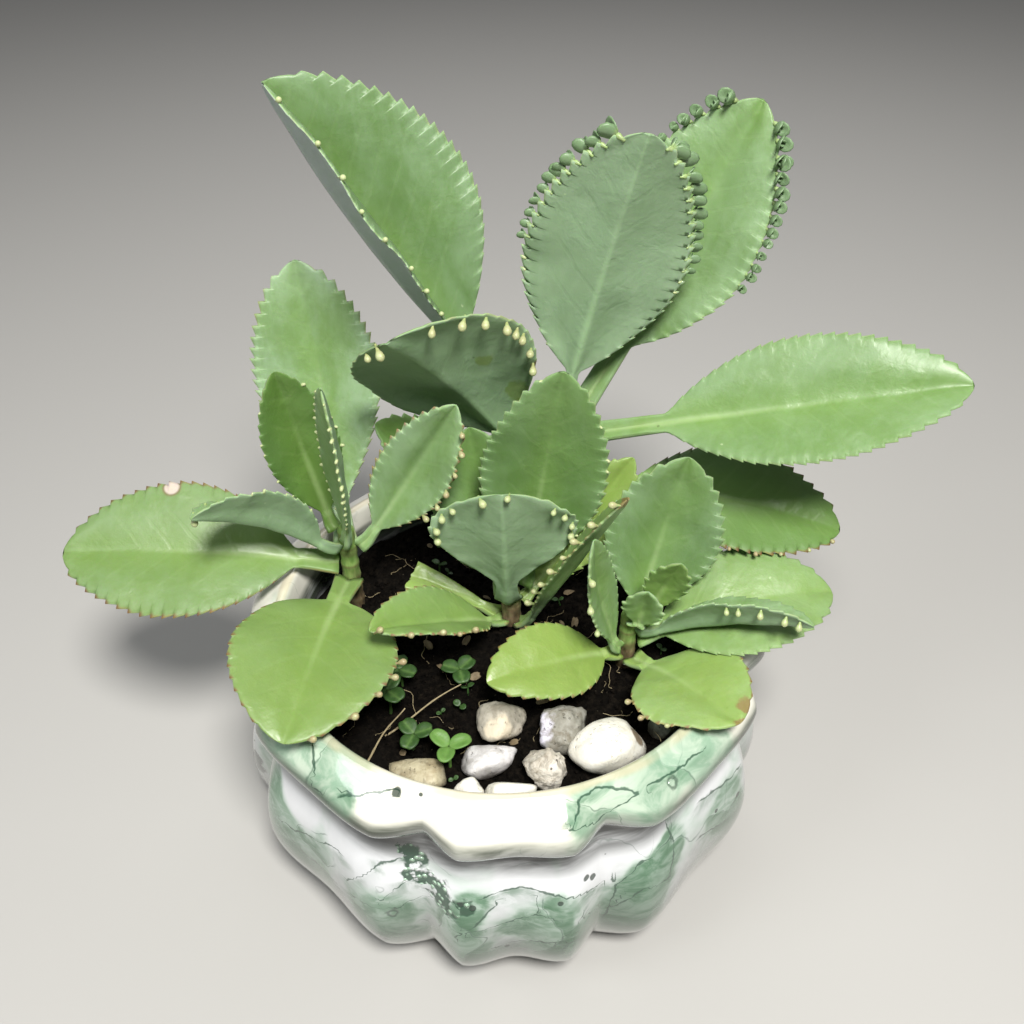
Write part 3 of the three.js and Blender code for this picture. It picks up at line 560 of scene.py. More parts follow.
# Colours, linear
SAGE = (0.135, 0.240, 0.062)
BRIGHT_GREEN = (0.200, 0.345, 0.060)
DEEP_GREEN = (0.062, 0.135, 0.026)
OLD_YELLOW = (0.235, 0.325, 0.070)
BLOOM = (0.370, 0.510, 0.345)
UNDERSIDE = (0.180, 0.275, 0.145)
UNDERSIDE_DEEP = (0.095, 0.165, 0.060)
# Grey-lilac underside skin, paler than real as painted bounce light
ASHEN_LILAC_LIT = (0.50, 0.54, 0.57)
RIB_PALE = (0.38, 0.50, 0.22)
RIM_PALE = (0.36, 0.50, 0.24)
TOOTH_BROWN = (0.17, 0.050, 0.028)
UNDERSIDE_YELLOW = (0.24, 0.36, 0.06)
UNDERSIDE_CLOUD = (0.20, 0.33, 0.20)
UNDERSIDE_RIB = (0.30, 0.46, 0.24)
UNDERSIDE_FILM = (0.31, 0.42, 0.27)
OLD_RIM_TAN = (0.30, 0.20, 0.06)
PALE_SPECK = (0.42, 0.54, 0.30)
DARK_SPECK = (0.05, 0.07, 0.02)
BUD_SHADE = (0.20, 0.27, 0.09)

# Marks on leaves: centre, radius and kind
LEAF_MARKS = [
    ((-121.5, 33.7, 121.4), 3.7, "scar ring"),
    ((-121.5, 33.7, 121.4), 2.9, "scar"),
    ((-5, 29, 177.5), 3.2, "olive"),
    ((6, 35.5, 162), 5.5, "olive"),
    ((9, 37, 155), 4.5, "olive"),
    ((12, 34, 174), 2.6, "dry"),
    ((78, -50, 100), 3.4, "dry"),
    ((75, -57, 99), 2.6, "dry"),
    ((38, -24, 164), 4.5, "dry"),
    ((-48, 57, 243), 0.9, "fleck"),
    ((-46, 57, 241), 0.5, "fleck"),
    ((71, -50, 100), 1.2, "olive"),
]
# Colour of each kind and how strong it is
MARK_LOOKS = {
    "scar ring": ((0.17, 0.11, 0.05), 0.8),
    "scar": ((0.55, 0.47, 0.40), 0.95),
    "olive": ((0.13, 0.20, 0.025), 0.6),
    "dry": ((0.22, 0.12, 0.05), 0.75),
    "fleck": ((0.50, 0.62, 0.36), 0.8),
}


def make_leaf_material(name, ground):
    """Waxy leaf skin, upper side and underside, read from the blade's own attributes."""
    material, graph, shader = new_material(
        name, Subsurface_Weight=0.1, Subsurface_Radius=(0.3, 1.0, 0.12), Subsurface_Scale=0.002,
        Specular_IOR_Level=0.5, Coat_Weight=0.1, Coat_Roughness=0.28)
    place = graph.place()
    upper = graph.attribute("upper")
    reach = graph.math("ABSOLUTE", graph.attribute("across"))
    side_mm = graph.math("ABSOLUTE", graph.attribute("side_mm"))
    along_mm = graph.attribute("along_mm")
    along = graph.attribute("along")
    deep = graph.attribute("deep")
    yellow = graph.attribute("yellow")
    aged = graph.attribute("aged")
    bloom = graph.attribute("bloom")
    tooth = graph.attribute("tooth")
    patches = graph.mask(MOTTLE, place, Scale=34.0, Contrast=0.24)
    cloud = graph.mask(MOTTLE, place, Scale=90.0, Contrast=0.30)
    grain = graph.mask(MOTTLE, place, Scale=420.0, Contrast=0.3)

    # Faint veins leave the midrib forwards and bend to the tip
    bend = graph.times(graph.math("POWER", side_mm, 1.12), 0.72)
    drift = graph.times(graph.noise(place, 55.0, 2.0), 9.0)
    phase = graph.plus(graph.minus(along_mm, bend), drift)
    wave = graph.math("SINE", graph.times(phase, TAU / 13.0))
    vein = graph.times(graph.remap(wave, 0.8, 1.0), graph.remap(reach, 0.85, 0.45))
    rib = graph.remap(side_mm, graph.blend(along, 2.4, 0.7), 0.1)
    base_share = graph.remap(along, 0.75, 0.0)

    # The upper side: yellow-green along the middle and the base, bluer towards the rim. The yellow-green
    # along the middle is a painted glow of light shining through the leaf, stronger towards the base
    skin = graph.mix(patches, ground, graph.mix(0.3, ground, BRIGHT_GREEN))
    skin = graph.over(skin, DEEP_GREEN, deep, 0.85)
    # Painted glow: light shining through the leaf near the midrib
    painted_glow = graph.times(graph.remap(side_mm, 13.0, 0.0), graph.blend(base_share, 0.35, 0.75))
    painted_glow = graph.times(painted_glow, graph.blend(cloud, 0.7, 1.0))
    skin = graph.over(skin, BRIGHT_GREEN, painted_glow, 0.65)
    aging = graph.times(yellow, graph.blend(patches, 0.65, 1.0))
    skin = graph.over(skin, OLD_YELLOW, aging)
    skin = graph.over(skin, RIB_PALE, vein, 0.04)
    skin = graph.over(skin, RIB_PALE, rib, base_share, 0.45)

    below = graph.mix(graph.times(deep, 0.8), UNDERSIDE, UNDERSIDE_DEEP)
    below = graph.over(below, UNDERSIDE_YELLOW, yellow, 0.8)
    below = graph.over(below, UNDERSIDE_CLOUD, patches, 0.3)
    below = graph.over(below, UNDERSIDE_DEEP, vein, 0.05)
    below = graph.over(below, UNDERSIDE_RIB, rib, graph.blend(base_share, 0.25, 0.65))
    # Steeply folded undersides: grey-lilac skin, made paler by painted bounce light
    below = graph.over(below, ASHEN_LILAC_LIT, graph.attribute("ashen_lit"), graph.blend(cloud, 0.55, 0.9))
    colour = graph.mix(upper, below, skin)

    # A pale waxy film, thicker towards the rim, rubbed away in places. Its whitish streaks are partly the
    # wax and partly a painted sheen
    drawn_down = graph.vector("MULTIPLY", place, (1.0, 1.0, 0.45))
    streaky = graph.mask(MOTTLE, drawn_down, Scale=62.0, Contrast=0.16)
    wax_and_sheen = graph.times(graph.blend(streaky, 0.3, 1.0), graph.remap(reach, 0.1, 1.0, 0.55, 1.0))
    wax_and_sheen = graph.times(wax_and_sheen, bloom, 0.72)
    colour = graph.over(colour, graph.mix(upper, UNDERSIDE_FILM, BLOOM), wax_and_sheen)
    colour = graph.over(colour, DEEP_GREEN, grain, 0.10)

    # Rim and teeth
    rim = graph.times(graph.remap(reach, 0.972, 1.0), graph.blend(bloom, 0.25, 0.6))
    colour = graph.over(colour, RIM_PALE, rim)
    browned = graph.times(graph.remap(tooth, 0.45, 0.95), graph.remap(aged, 0.3, 1.0, 0.0, 0.85))
    colour = graph.over(colour, TOOTH_BROWN, browned)
    old_rim = graph.times(graph.remap(reach, 0.965, 1.0), aged,
                          graph.remap(graph.noise(place, 110.0, 3.0), 0.45, 0.62))
    colour = graph.over(colour, OLD_RIM_TAN, old_rim, 0.6)

    # Specks and single marks
    pale = graph.mask(SPECKS, place, Scale=150.0, Size=0.09, Share=0.07)
    dark = graph.mask(SPECKS, place, Scale=110.0, Size=0.07, Share=0.06)
    colour = graph.over(colour, PALE_SPECK, pale, 0.5)
    colour = graph.over(colour, DARK_SPECK, dark, 0.5)
    for centre, radius, kind in LEAF_MARKS:
        tint, strength = MARK_LOOKS[kind]
        spot = graph.mask(SPOT, place, Centre=Vector(centre) * MM, Radius=radius * MM,
                          Ragged=0.06 if "scar" in kind else 0.4)
        colour = graph.over(colour, tint, spot, strength)

    rough = graph.plus(graph.blend(upper, 0.50, 0.36), graph.times(wax_and_sheen, 0.2))
    rough = graph.plus(rough, graph.times(cloud, 0.10))
    rough = graph.plus(rough, graph.remap(reach, 0.86, 0.98, 0.0, 0.2))
    wrinkle = graph.times(graph.noise(place, 210.0, 3.0, 0.6, 0.8), graph.remap(patches, 0.3, 0.9))
    relief = graph.plus(graph.times(graph.noise(place, 55.0, 2.0), 1.4), graph.times(wrinkle, 0.45))
    relief = graph.plus(relief, graph.times(vein, -0.05))
    relief = graph.plus(relief, graph.times(grain, 0.04))
    graph.put(shader["Base Color"], colour)
    graph.put(shader["Roughness"], rough)
    graph.put(shader["Normal"], graph.bump(relief, 0.0006))
    return material


def make_plantlet_material(name, tip, base, aged_tint):
    """Small fleshy buds: paler at the root, with a tint on the old ones."""
    material, graph, shader = new_material(
        name, Roughness=0.42, Subsurface_Weight=0.2, Subsurface_Radius=(0.6, 1.0, 0.4),
        Subsurface_Scale=0.0012)
    place = graph.place()
    height = graph.attribute("height")
    cloud = graph.noise(place, 400.0, 2.0)
    colour = graph.mix(graph.remap(height, 0.35, 0.62), base, tip)
    colour = graph.over(colour, aged_tint, graph.attribute("aged"),
                        graph.remap(cloud, 0.3, 0.6, 0.3, 0.8))
    colour = graph.over(colour, BUD_SHADE, cloud, 0.15)
    graph.put(shader["Base Color"], colour)
    graph.put(shader["Normal"], graph.bump(graph.noise(place, 900.0, 2.0), 0.0001))
    return material


# Marks in the glaze. Each starts with a place: degrees round from the front, and a height.
# Patches: place, radius and how much more green, or less, the glaze holds there
GLAZE_PATCHES = [
    (-62, 46, 22, 1.3), (-52, 28, 24, 1.2), (-50, 62, 12, -1.0), (-38, 91, 16, 1.3), (-54, 92, 14, 0.9),
    (-33, 60, 13, -0.8), (-26, 41, 14, 0.8), (-18, 45, 10, 0.6), (-22, 26, 20, 0.7), (-9, 45, 11, 1.0),
    (-8, 28, 15, 1.1), (-6, 54, 8, 0.8), (8, 40, 17, 0.7), (5, 63, 10, -0.9), (15, 27, 15, 0.6),
    (18, 62, 10, -0.9), (31, 50, 15, 1.2), (26, 34, 19, 1.1), (31, 68, 9, -1.0), (37, 57, 8, 0.8),
    (53, 62, 12, -0.5), (57, 48, 13, 0.9), (60, 32, 18, 0.9), (18, 92, 10, 1.1), (30, 92, 16, 1.2),
    (46, 92, 16, 1.2), (0, 91, 20, -1.3), (-22, 92, 11, -0.9), (85, 50, 24, 0.4), (-90, 40, 24, 0.4),
]
# Streaks: places along the line, how far its wash fades and towards which side
DOWN, UPWARD, ROUND_RIGHT, ROUND_LEFT = (0, 0, -1), (0, 0.4, 1), (1, 0, 0), (-1, 0, -0.3)
GLAZE_STREAKS = [
    ([(-9, 40), (-5, 47), (-1, 54)], 10, ROUND_LEFT),
    ([(-3, 57), (4, 60), (13, 56), (20, 52)], 9, DOWN),
    ([(-8, 43), (0, 44), (8, 49), (18, 42)], 10, DOWN),
    ([(7, 55), (7, 48)], 3, ROUND_RIGHT),
    ([(16, 45), (10, 34)], 7, ROUND_RIGHT),
    ([(-1, 31), (11, 36), (18, 32)], 8, DOWN),
    ([(23, 53), (24, 48), (23, 40), (22, 30)], 10, ROUND_RIGHT),
    ([(37, 66), (38, 57), (36, 48)], 9, ROUND_RIGHT),
    ([(24, 51), (29, 58), (37, 60)], 12, DOWN),
    ([(24, 38), (29, 48), (36, 45)], 8, DOWN),
    ([(49, 61), (56, 58), (63, 56)], 9, DOWN),
    ([(47, 46), (55, 40), (62, 36)], 9, DOWN),
    ([(14, 90), (16, 94), (21, 94), (29, 92), (34, 92), (46, 91)], 6, DOWN),
    ([(13, 90), (20, 87), (24, 89), (30, 92)], 5, UPWARD),
    ([(-40, 86), (-36, 86), (-30, 91), (-22, 94)], 8, ROUND_LEFT),
    ([(-45, 93.5), (-41, 90)], 6, ROUND_LEFT),
    ([(-54, 44), (-41, 52), (-36, 55)], 11, DOWN),
    ([(-51, 38), (-44, 37), (-37, 37)], 8, DOWN),
    ([(-33, 46), (-25, 62), (-21, 65)], 7, DOWN),
    ([(-24, 48), (-20, 56), (-16, 56)], 9, DOWN),
    ([(-31, 41), (-21, 45), (-12, 52)], 12, DOWN),
    ([(-70, 60), (-60, 52), (-55, 40)], 10, ROUND_RIGHT),
    ([(100, 66), (118, 50), (140, 56), (160, 38)], 11, DOWN),
    ([(-160, 60), (-138, 48), (-120, 58), (-100, 46)], 11, DOWN),
]
# Dark blots: place and radius
GLAZE_BLOTS = [
    (-75, 38, 4.4), (-74, 34, 3.0), (-26, 23, 3.6), (-22, 93.6, 1.7), (-17, 93.8, 0.7),
    (17.4, 59, 1.3), (19, 57.4, 1.3), (11.4, 54, 1.0), (3.4, 71.5, 1.0), (1, 30, 0.9),
    (61, 46, 1.4), (53, 50, 0.9), (-8, 55, 1.3), (-5.6, 54, 1.1),
]
# Spots with a dark border and a pale middle
GLAZE_RINGS = [(-22, 41, 2.4), (36, 90.5, 2.2)]
# The spots that the bubbly run is made of
BUBBLE_SPOTS = [
    (-20, 67, 3.6), (-18.2, 63.5, 4.4), (-18.4, 58, 4.4), (-15.6, 57, 4.8), (-13.5, 56, 4.8),
    (-11.8, 54, 4.6), (-9.6, 52, 4.0), (-7.4, 54, 3.2),
]
CREAM = (0.86, 0.84, 0.74)
MILK_WHITE = (0.80, 0.81, 0.83)
# Painted shade in the neck under the collar, lilac and olive, partly glaze pooled there
LILAC_SHADE = (0.18, 0.165, 0.19)
OLIVE_SHADE = (0.12, 0.135, 0.095)
# Smoky green low on the belly, partly the glaze's own and partly painted shade
SMOKY_GREEN_SHADE = (0.075, 0.105, 0.080)
PALE_GREEN = (0.32, 0.50, 0.36)
GLAZE_GREEN = (0.065, 0.165, 0.085)
BOTTLE_GREEN = (0.015, 0.065, 0.032)
VEIN_GREEN = (0.030, 0.090, 0.055)
THIN_VEIN_GREEN = (0.07, 0.13, 0.10)
STREAK_GREEN = (0.022, 0.070, 0.040)
BUBBLE_PALE = (0.42, 0.62, 0.45)
BLOT_GREEN = (0.014, 0.035, 0.022)
DOT_GREEN = (0.035, 0.055, 0.035)
GLAZE_SHADE = (0.26, 0.29, 0.25)
LIP_TAN = (0.55, 0.47, 0.30)
CLAY_DARK = (0.36, 0.24, 0.16)
CLAY_LIGHT = (0.52, 0.40, 0.29)
# Heights on the pot, in metres, between which the glaze changes and the neck's painted shade lies
CREAM_STARTS = (0.080, 0.088)
LOW_NECK_SHADE_STARTS, LOW_NECK_SHADE_ENDS = (0.061, 0.070), (0.081, 0.076)
HIGH_NECK_SHADE_STARTS, HIGH_NECK_SHADE_ENDS = (0.076, 0.080), (0.0885, 0.085)
LIP_LINE_STARTS = (0.0942, 0.0952)
BARE_CLAY_ENDS = (0.0016, 0.0007)


def glaze_spots(graph, place, spots, ragged, part=1.0):
    """A mask of several spots. part shrinks them all."""
    mask = 0.0
    for degrees, z, radius in spots:
        spot = graph.mask(SPOT, place, Centre=on_pot(degrees, z) * MM, Radius=radius * part * MM,
                          Ragged=ragged)
        mask = graph.math("MAXIMUM", mask, spot)
    return mask


def make_glaze_material():
    """Cream glaze marbled with greens, with dark streaks, blots, specks and a bubbly run."""
    material, graph, shader = new_material(
        "marbled glaze", Coat_Weight=0.8, Coat_Roughness=0.05, Coat_IOR=1.5, Specular_IOR_Level=0.5)
    place = graph.place()
    height = graph.height(place)

    push = graph.attribute("green")
    wild = graph.remap(graph.noise(place, 24.0, 4.0, 0.6, 0.6), 0.35, 0.70, -0.35, 0.75)
    amount = graph.remap(graph.plus(graph.times(wild, 0.8), push), 0.05, 0.95)
    broad = graph.group(MARBLING, {
        "Place": place, "Scale": 16.0, "Swirl": 0.045, "Bands": 5.0, "Line Width": 0.004})
    elsewhere = graph.vector("ADD", place, (0.31, 0.17, 0.05))
    fine = graph.group(MARBLING, {
        "Place": elsewhere, "Scale": 26.0, "Swirl": 0.03, "Bands": 3.6, "Line Width": 0.004})
    washes = graph.times(graph.attribute("wash"),
                         graph.remap(graph.noise(place, 75.0, 3.0), 0.30, 0.62, 0.3, 1.0))
    wander = graph.times(graph.minus(graph.noise(place, 130.0, 3.0, 0.6), 0.5), 4.5)
    from_line = graph.math("ABSOLUTE", graph.plus(graph.attribute("line_mm"), wander))
    width = graph.remap(graph.noise(place, 190.0, 2.0), 0.3, 0.7, 0.12, 0.75)
    lines = graph.times(graph.remap(from_line, width, graph.times(width, 0.3)),
                        graph.remap(graph.attribute("near_mm"), 3.4, 2.2))

    # Cream on the collar, white below, with painted lilac and olive shade in the neck under the collar,
    # partly glaze pooled there
    base = graph.mix(graph.remap(height, *CREAM_STARTS), MILK_WHITE, CREAM)
    drawn = graph.noise(graph.vector("MULTIPLY", place, (0.30, 0.30, 1.7)), 75.0, 4.0, 0.6, 0.4)
    low_neck_shade = graph.times(graph.remap(height, *LOW_NECK_SHADE_STARTS), graph.remap(height, *LOW_NECK_SHADE_ENDS))
    high_neck_shade = graph.times(graph.remap(height, *HIGH_NECK_SHADE_STARTS),
                            graph.remap(height, *HIGH_NECK_SHADE_ENDS))
    base = graph.over(base, LILAC_SHADE, low_neck_shade, graph.remap(drawn, 0.32, 0.60, 0.35, 0.95))
    base = graph.over(base, OLIVE_SHADE, high_neck_shade, graph.remap(drawn, 0.38, 0.58, 0.35, 0.95))
    # Smoky green, stronger lower down: partly the glaze's own smoke, partly painted shade where the belly
    # turns under
    smoke_and_shade = graph.remap(graph.noise(place, 42.0, 5.0, 0.62, 0.8), 0.35, 0.68)
    smoke_and_shade = graph.times(graph.blend(smoke_and_shade, 0.35, 1.0), graph.remap(height, 0.062, 0.012, 0.08, 0.95))
    base = graph.over(base, SMOKY_GREEN_SHADE, smoke_and_shade)

    streaky = graph.noise(graph.vector("MULTIPLY", place, (1.0, 1.0, 2.0)), 60.0, 5.0, 0.62, 1.6)
    cloudy = graph.remap(streaky, 0.34, 0.66)
    share = graph.times(amount, graph.blend(cloudy, 0.65, 1.0))
    share = graph.times(share, graph.blend(broad["Wash"], 0.9, 1.0))
    colour = graph.mix(graph.times(share, 0.95), base, PALE_GREEN)
    deep = graph.math("MULTIPLY", graph.remap(amount, 0.45, 1.0),
                      graph.plus(graph.times(broad["Wash"], 0.65),
                                 graph.times(cloudy, 0.4)), use_clamp=True)
    deep = graph.times(deep, graph.remap(height, 0.088, 0.066, 0.5, 1.0))
    colour = graph.over(colour, GLAZE_GREEN, deep)
    stained = graph.times(washes, graph.remap(cloudy, 0.0, 1.0, 0.25, 0.8))
    colour = graph.over(colour, GLAZE_GREEN, stained)
    veins = graph.times(broad["Line"], graph.remap(amount, 0.1, 0.5))
    thin = graph.times(fine["Line"], graph.remap(graph.noise(place, 52.0, 3.0), 0.50, 0.62))
    colour = graph.over(colour, VEIN_GREEN, veins, 0.6)
    colour = graph.over(colour, THIN_VEIN_GREEN, thin, 0.45)
    colour = graph.over(colour, STREAK_GREEN, lines, 0.85)

    # The bubbly dark run
    bubbles = graph.cells(place, 430.0)
    skin = graph.mix(graph.remap(bubbles, 0.28, 0.46), BUBBLE_PALE, BOTTLE_GREEN)
    run = glaze_spots(graph, place, BUBBLE_SPOTS, 0.45)
    run = graph.times(run, graph.remap(graph.noise(place, 230.0, 3.0), 0.38, 0.46))
    colour = graph.over(colour, skin, run, 0.95)

    blots = glaze_spots(graph, place, GLAZE_BLOTS, 0.35)
    border = graph.minus(glaze_spots(graph, place, GLAZE_RINGS, 0.4),
                         glaze_spots(graph, place, GLAZE_RINGS, 0.4, 0.6))
    blots = graph.math("MAXIMUM", blots, graph.times(border, 0.7))
    colour = graph.over(colour, BLOT_GREEN, blots, 0.88)
    dots = graph.mask(SPECKS, place, Scale=120.0, Size=0.07, Share=0.06)
    colour = graph.over(colour, DOT_GREEN, dots, 0.6)

    # Painted shade: the glaze is darker low down and in the neck
    shade = graph.math("MAXIMUM", graph.remap(height, 0.060, 0.014, 0.0, 1.0),
                       graph.times(graph.plus(low_neck_shade, high_neck_shade),
                                   graph.remap(drawn, 0.35, 0.6, 0.45, 0.95)))
    colour = graph.over(colour, graph.mix(1.0, colour, GLAZE_SHADE, "MULTIPLY"), shade)

    # The lip's thin tan line, and the bare clay of the foot
    lip = graph.times(graph.remap(height, *LIP_LINE_STARTS),
                      graph.remap(graph.noise(place, 60.0, 2.0), 0.3, 0.55, 0.2, 0.6))
    colour = graph.over(colour, LIP_TAN, lip)
    foot = graph.remap(height, *BARE_CLAY_ENDS)
    clay = graph.mix(graph.noise(place, 300.0, 3.0), CLAY_DARK, CLAY_LIGHT)
    colour = graph.over(colour, clay, foot)

    rough = graph.remap(graph.noise(place, 90.0, 3.0), 0.3, 0.7, 0.10, 0.22)
    rough = graph.blend(foot, rough, 0.85)
    relief = graph.times(graph.noise(place, 26.0, 2.0), 1.6)
    relief = graph.plus(relief, graph.times(graph.noise(place, 240.0, 2.0), 0.10))
    pits = graph.times(run, graph.remap(bubbles, 0.15, 0.4, 0.6, -0.4))
    relief = graph.plus(relief, pits)
    relief = graph.plus(relief, graph.times(blots, -0.3))
    graph.put(shader["Base Color"], colour)
    graph.put(shader["Roughness"], rough)
    graph.put(shader["Normal"], graph.bump(relief, 0.0006))
    return material


# Soil colours, far darker than real soil: painted shade over the whole bed
SHADED_SOIL_LIGHT = (0.013, 0.010, 0.007)
SHADED_SOIL_DARK = (0.003, 0.0025, 0.002)
DAMP_SOIL = (0.007, 0.006, 0.005)
SOIL_GRIT = (0.12, 0.10, 0.07)
STONE_STAIN = (0.13, 0.10, 0.06)
STONE_CRACK = (0.11, 0.085, 0.055)
STONE_PIT = (0.09, 0.07, 0.05)
SOILED_BROWN = (0.035, 0.026, 0.017)
# Heights, in metres, between which a pebble is soiled
SOILED_ENDS = (0.0825, 0.0770)
LEAF_SCAR_BROWN = (0.11, 0.08, 0.035)
CLOVER_CREASE = (0.17, 0.30, 0.08)


def make_soil_material():
    """Damp crumbly soil, its colours far darker than real soil: painted shade."""
    material, graph, shader = new_material("shaded potting soil", Roughness=0.95, Specular_IOR_Level=0.05)
    place = graph.place()
    crumb = graph.noise(place, 420.0, 5.0, 0.7)
    wide = graph.noise(place, 60.0, 3.0)
    colour = graph.mix(graph.remap(crumb, 0.42, 0.74), SHADED_SOIL_DARK, SHADED_SOIL_LIGHT)
    colour = graph.over(colour, DAMP_SOIL, graph.remap(wide, 0.45, 0.7, 0.0, 0.6))
    grit = graph.mask(SPECKS, place, Scale=480.0, Size=0.2, Share=0.04)
    colour = graph.over(colour, SOIL_GRIT, grit, 0.4)
    graph.put(shader["Base Color"], colour)
    graph.put(shader["Normal"], graph.bump(crumb, 0.0015))
    return material


def make_stone_material(name, light, dark, stain, grit, roughness=0.6, tint=None):
    """A worn pebble. stain and grit are shares. tint colours one end of it."""
    material, graph, shader = new_material(
        name, Specular_IOR_Level=0.45, Subsurface_Weight=0.06, Subsurface_Radius=(1.0, 0.9, 0.7),
        Subsurface_Scale=0.0015)
    place = graph.place()
    cloud = graph.mask(MOTTLE, place, Scale=95.0, Contrast=0.14)
    dirt = graph.noise(place, 230.0, 6.0, 0.72, 0.6)
    colour = graph.mix(cloud, light, dark)
    if tint:
        centre, radius, shade = tint
        spot = graph.mask(SPOT, place, Centre=Vector(centre) * MM, Radius=radius * MM, Ragged=0.25)
        colour = graph.over(colour, shade, spot, 0.9)
    colour = graph.over(colour, STONE_STAIN, graph.remap(dirt, 0.50, 0.62), stain)
    bent = graph.vector("ADD", place, graph.scaled(graph.noise(place, 200.0, 3.0, colour=True), 0.006))
    crack = graph.remap(graph.cells(bent, 150.0, "DISTANCE_TO_EDGE"), 0.05, 0.0)
    crack = graph.times(crack, graph.remap(graph.noise(place, 130.0, 2.0), 0.45, 0.6))
    colour = graph.over(colour, STONE_CRACK, crack, 0.12)
    pits = graph.mask(SPECKS, place, Scale=620.0, Size=0.3, Share=0.3)
    colour = graph.over(colour, STONE_PIT, pits, grit)
    low = graph.plus(graph.height(place), graph.times(graph.minus(dirt, 0.5), 0.010))
    soiled = graph.remap(low, *SOILED_ENDS, 0.0, 0.85)
    colour = graph.over(colour, SOILED_BROWN, soiled)
    rough = graph.plus(roughness, graph.times(graph.minus(cloud, 0.5), 0.15))
    relief = graph.plus(dirt, graph.times(pits, -0.8))
    relief = graph.plus(relief, graph.times(crack, -0.12))
    graph.put(shader["Base Color"], colour)
    graph.put(shader["Roughness"], rough)
    graph.put(shader["Normal"], graph.bump(relief, 0.0004 + 0.0009 * grit))
    return material


def make_bark_material():
    """A young stem, green above and corky below, with rings where leaves fell."""
    material, graph, shader = new_material("stem bark", Roughness=0.65, Subsurface_Weight=0.05,
                                           Subsurface_Scale=0.002)
    place = graph.place()
    height = graph.height(place)
    grain = graph.noise(graph.vector("MULTIPLY", place, (1.0, 1.0, 0.25)), 500.0, 4.0, 0.6)
    cork = graph.mix(graph.remap(grain, 0.3, 0.7), (0.07, 0.045, 0.022), (0.22, 0.16, 0.09))
    fresh = graph.mix(graph.remap(grain, 0.3, 0.7), (0.13, 0.24, 0.05), (0.26, 0.38, 0.11))
    blend = graph.plus(height, graph.times(graph.minus(graph.noise(place, 120.0, 3.0), 0.5), 0.03))
    colour = graph.mix(graph.remap(blend, 0.080, 0.098), cork, fresh)
    colour = graph.over(colour, LEAF_SCAR_BROWN, graph.attribute("scar"), 0.7)
    graph.put(shader["Base Color"], colour)
    graph.put(shader["Normal"], graph.bump(grain, 0.0006))
    return material


def make_clover_material(name, dark, light):
    """Thin soft clover leaf with a paler crease."""
    material, graph, shader = new_material(name, Roughness=0.5, Subsurface_Weight=0.1,
                                           Subsurface_Radius=(0.3, 1.0, 0.1), Subsurface_Scale=0.001)
    place = graph.place()
    cloud = graph.noise(place, 220.0, 3.0)
    colour = graph.mix(cloud, dark, light)
    colour = graph.over(colour, CLOVER_CREASE, graph.attribute("crease"), 0.35)
    graph.put(shader["Base Color"], colour)
    graph.put(shader["Normal"], graph.bump(cloud, 0.0004))
    return material


def make_straw_material(name, dark, light):
    """Dry fibres, streaked along their length."""
    material, graph, shader = new_material(name, Roughness=0.7)
    place = graph.place()
    streak = graph.noise(place, 700.0, 3.0)
    colour = graph.mix(streak, dark, light)
    graph.put(shader["Base Color"], colour)
    graph.put(shader["Normal"], graph.bump(streak, 0.0003))
    return material


LEAF_GREEN = make_leaf_material("waxy green leaf", SAGE)
LEAF_YELLOW = make_leaf_material("yellowing leaf", BRIGHT_GREEN)
BUD_PALE = make_plantlet_material("plantlet buds", (0.46, 0.54, 0.27), (0.30, 0.42, 0.15),
                                  (0.36, 0.23, 0.14))
LEAFLET_BLUE = make_plantlet_material("plantlet leaflets", (0.160, 0.250, 0.135), (0.32, 0.43, 0.17),
                                      (0.10, 0.18, 0.06))
GLAZE = make_glaze_material()
SOIL = make_soil_material()
DRY_STRAW = make_straw_material("dry straw", (0.16, 0.12, 0.06), (0.46, 0.38, 0.22))
WITHERED = make_straw_material("withered leaf", (0.07, 0.045, 0.025), (0.26, 0.20, 0.11))
BARK = make_bark_material()
# Lit clover, and a darker copy of it as painted shade for clover and sprouts in the leaves' shade
CLOVER_LIT = make_clover_material("lit clover", (0.07, 0.17, 0.03), (0.14, 0.27, 0.06))
CLOVER_SHADED = make_clover_material("shaded clover", (0.018, 0.050, 0.010), (0.040, 0.095, 0.020))
STONES = {
    "grey stone": make_stone_material(
        "grey stone", (0.50, 0.46, 0.38), (0.27, 0.25, 0.20), 0.35, 0.1, 0.5,
        ((-1, -48, 86), 5.0, (0.66, 0.58, 0.44))),
    "white quartz": make_stone_material(
        "white quartz", (0.78, 0.76, 0.76), (0.48, 0.46, 0.45), 0.3, 0.08, 0.42),
    "grey quartz": make_stone_material(
        "grey quartz", (0.42, 0.41, 0.36), (0.22, 0.21, 0.17), 0.5, 0.3, 0.5,
        ((12, -46, 83), 6.5, (0.68, 0.66, 0.76))),
    "crusty limestone": make_stone_material(
        "crusty limestone", (0.78, 0.74, 0.66), (0.48, 0.43, 0.35), 0.55, 0.8, 0.8),
    "smooth cream stone": make_stone_material(
        "smooth cream stone", (0.90, 0.88, 0.80), (0.80, 0.76, 0.66), 0.15, 0.04, 0.45,
        ((45, -49, 84), 3.6, (0.20, 0.14, 0.08))),
    "brown cream stone": make_stone_material(
        "brown cream stone", (0.52, 0.47, 0.32), (0.34, 0.28, 0.17), 0.45, 0.1, 0.55),
    "grey green stone": make_stone_material(
        "grey green stone", (0.20, 0.23, 0.18), (0.10, 0.115, 0.085), 0.5, 0.3, 0.6),
}

# Geometry trees


def geometry_tree(name, inputs):
    graph, given, result = new_group(
        name, "GeometryNodeTree", [("Geometry", "NodeSocketGeometry", None), *inputs],
        [("Geometry", "NodeSocketGeometry")])
    return graph, given, result


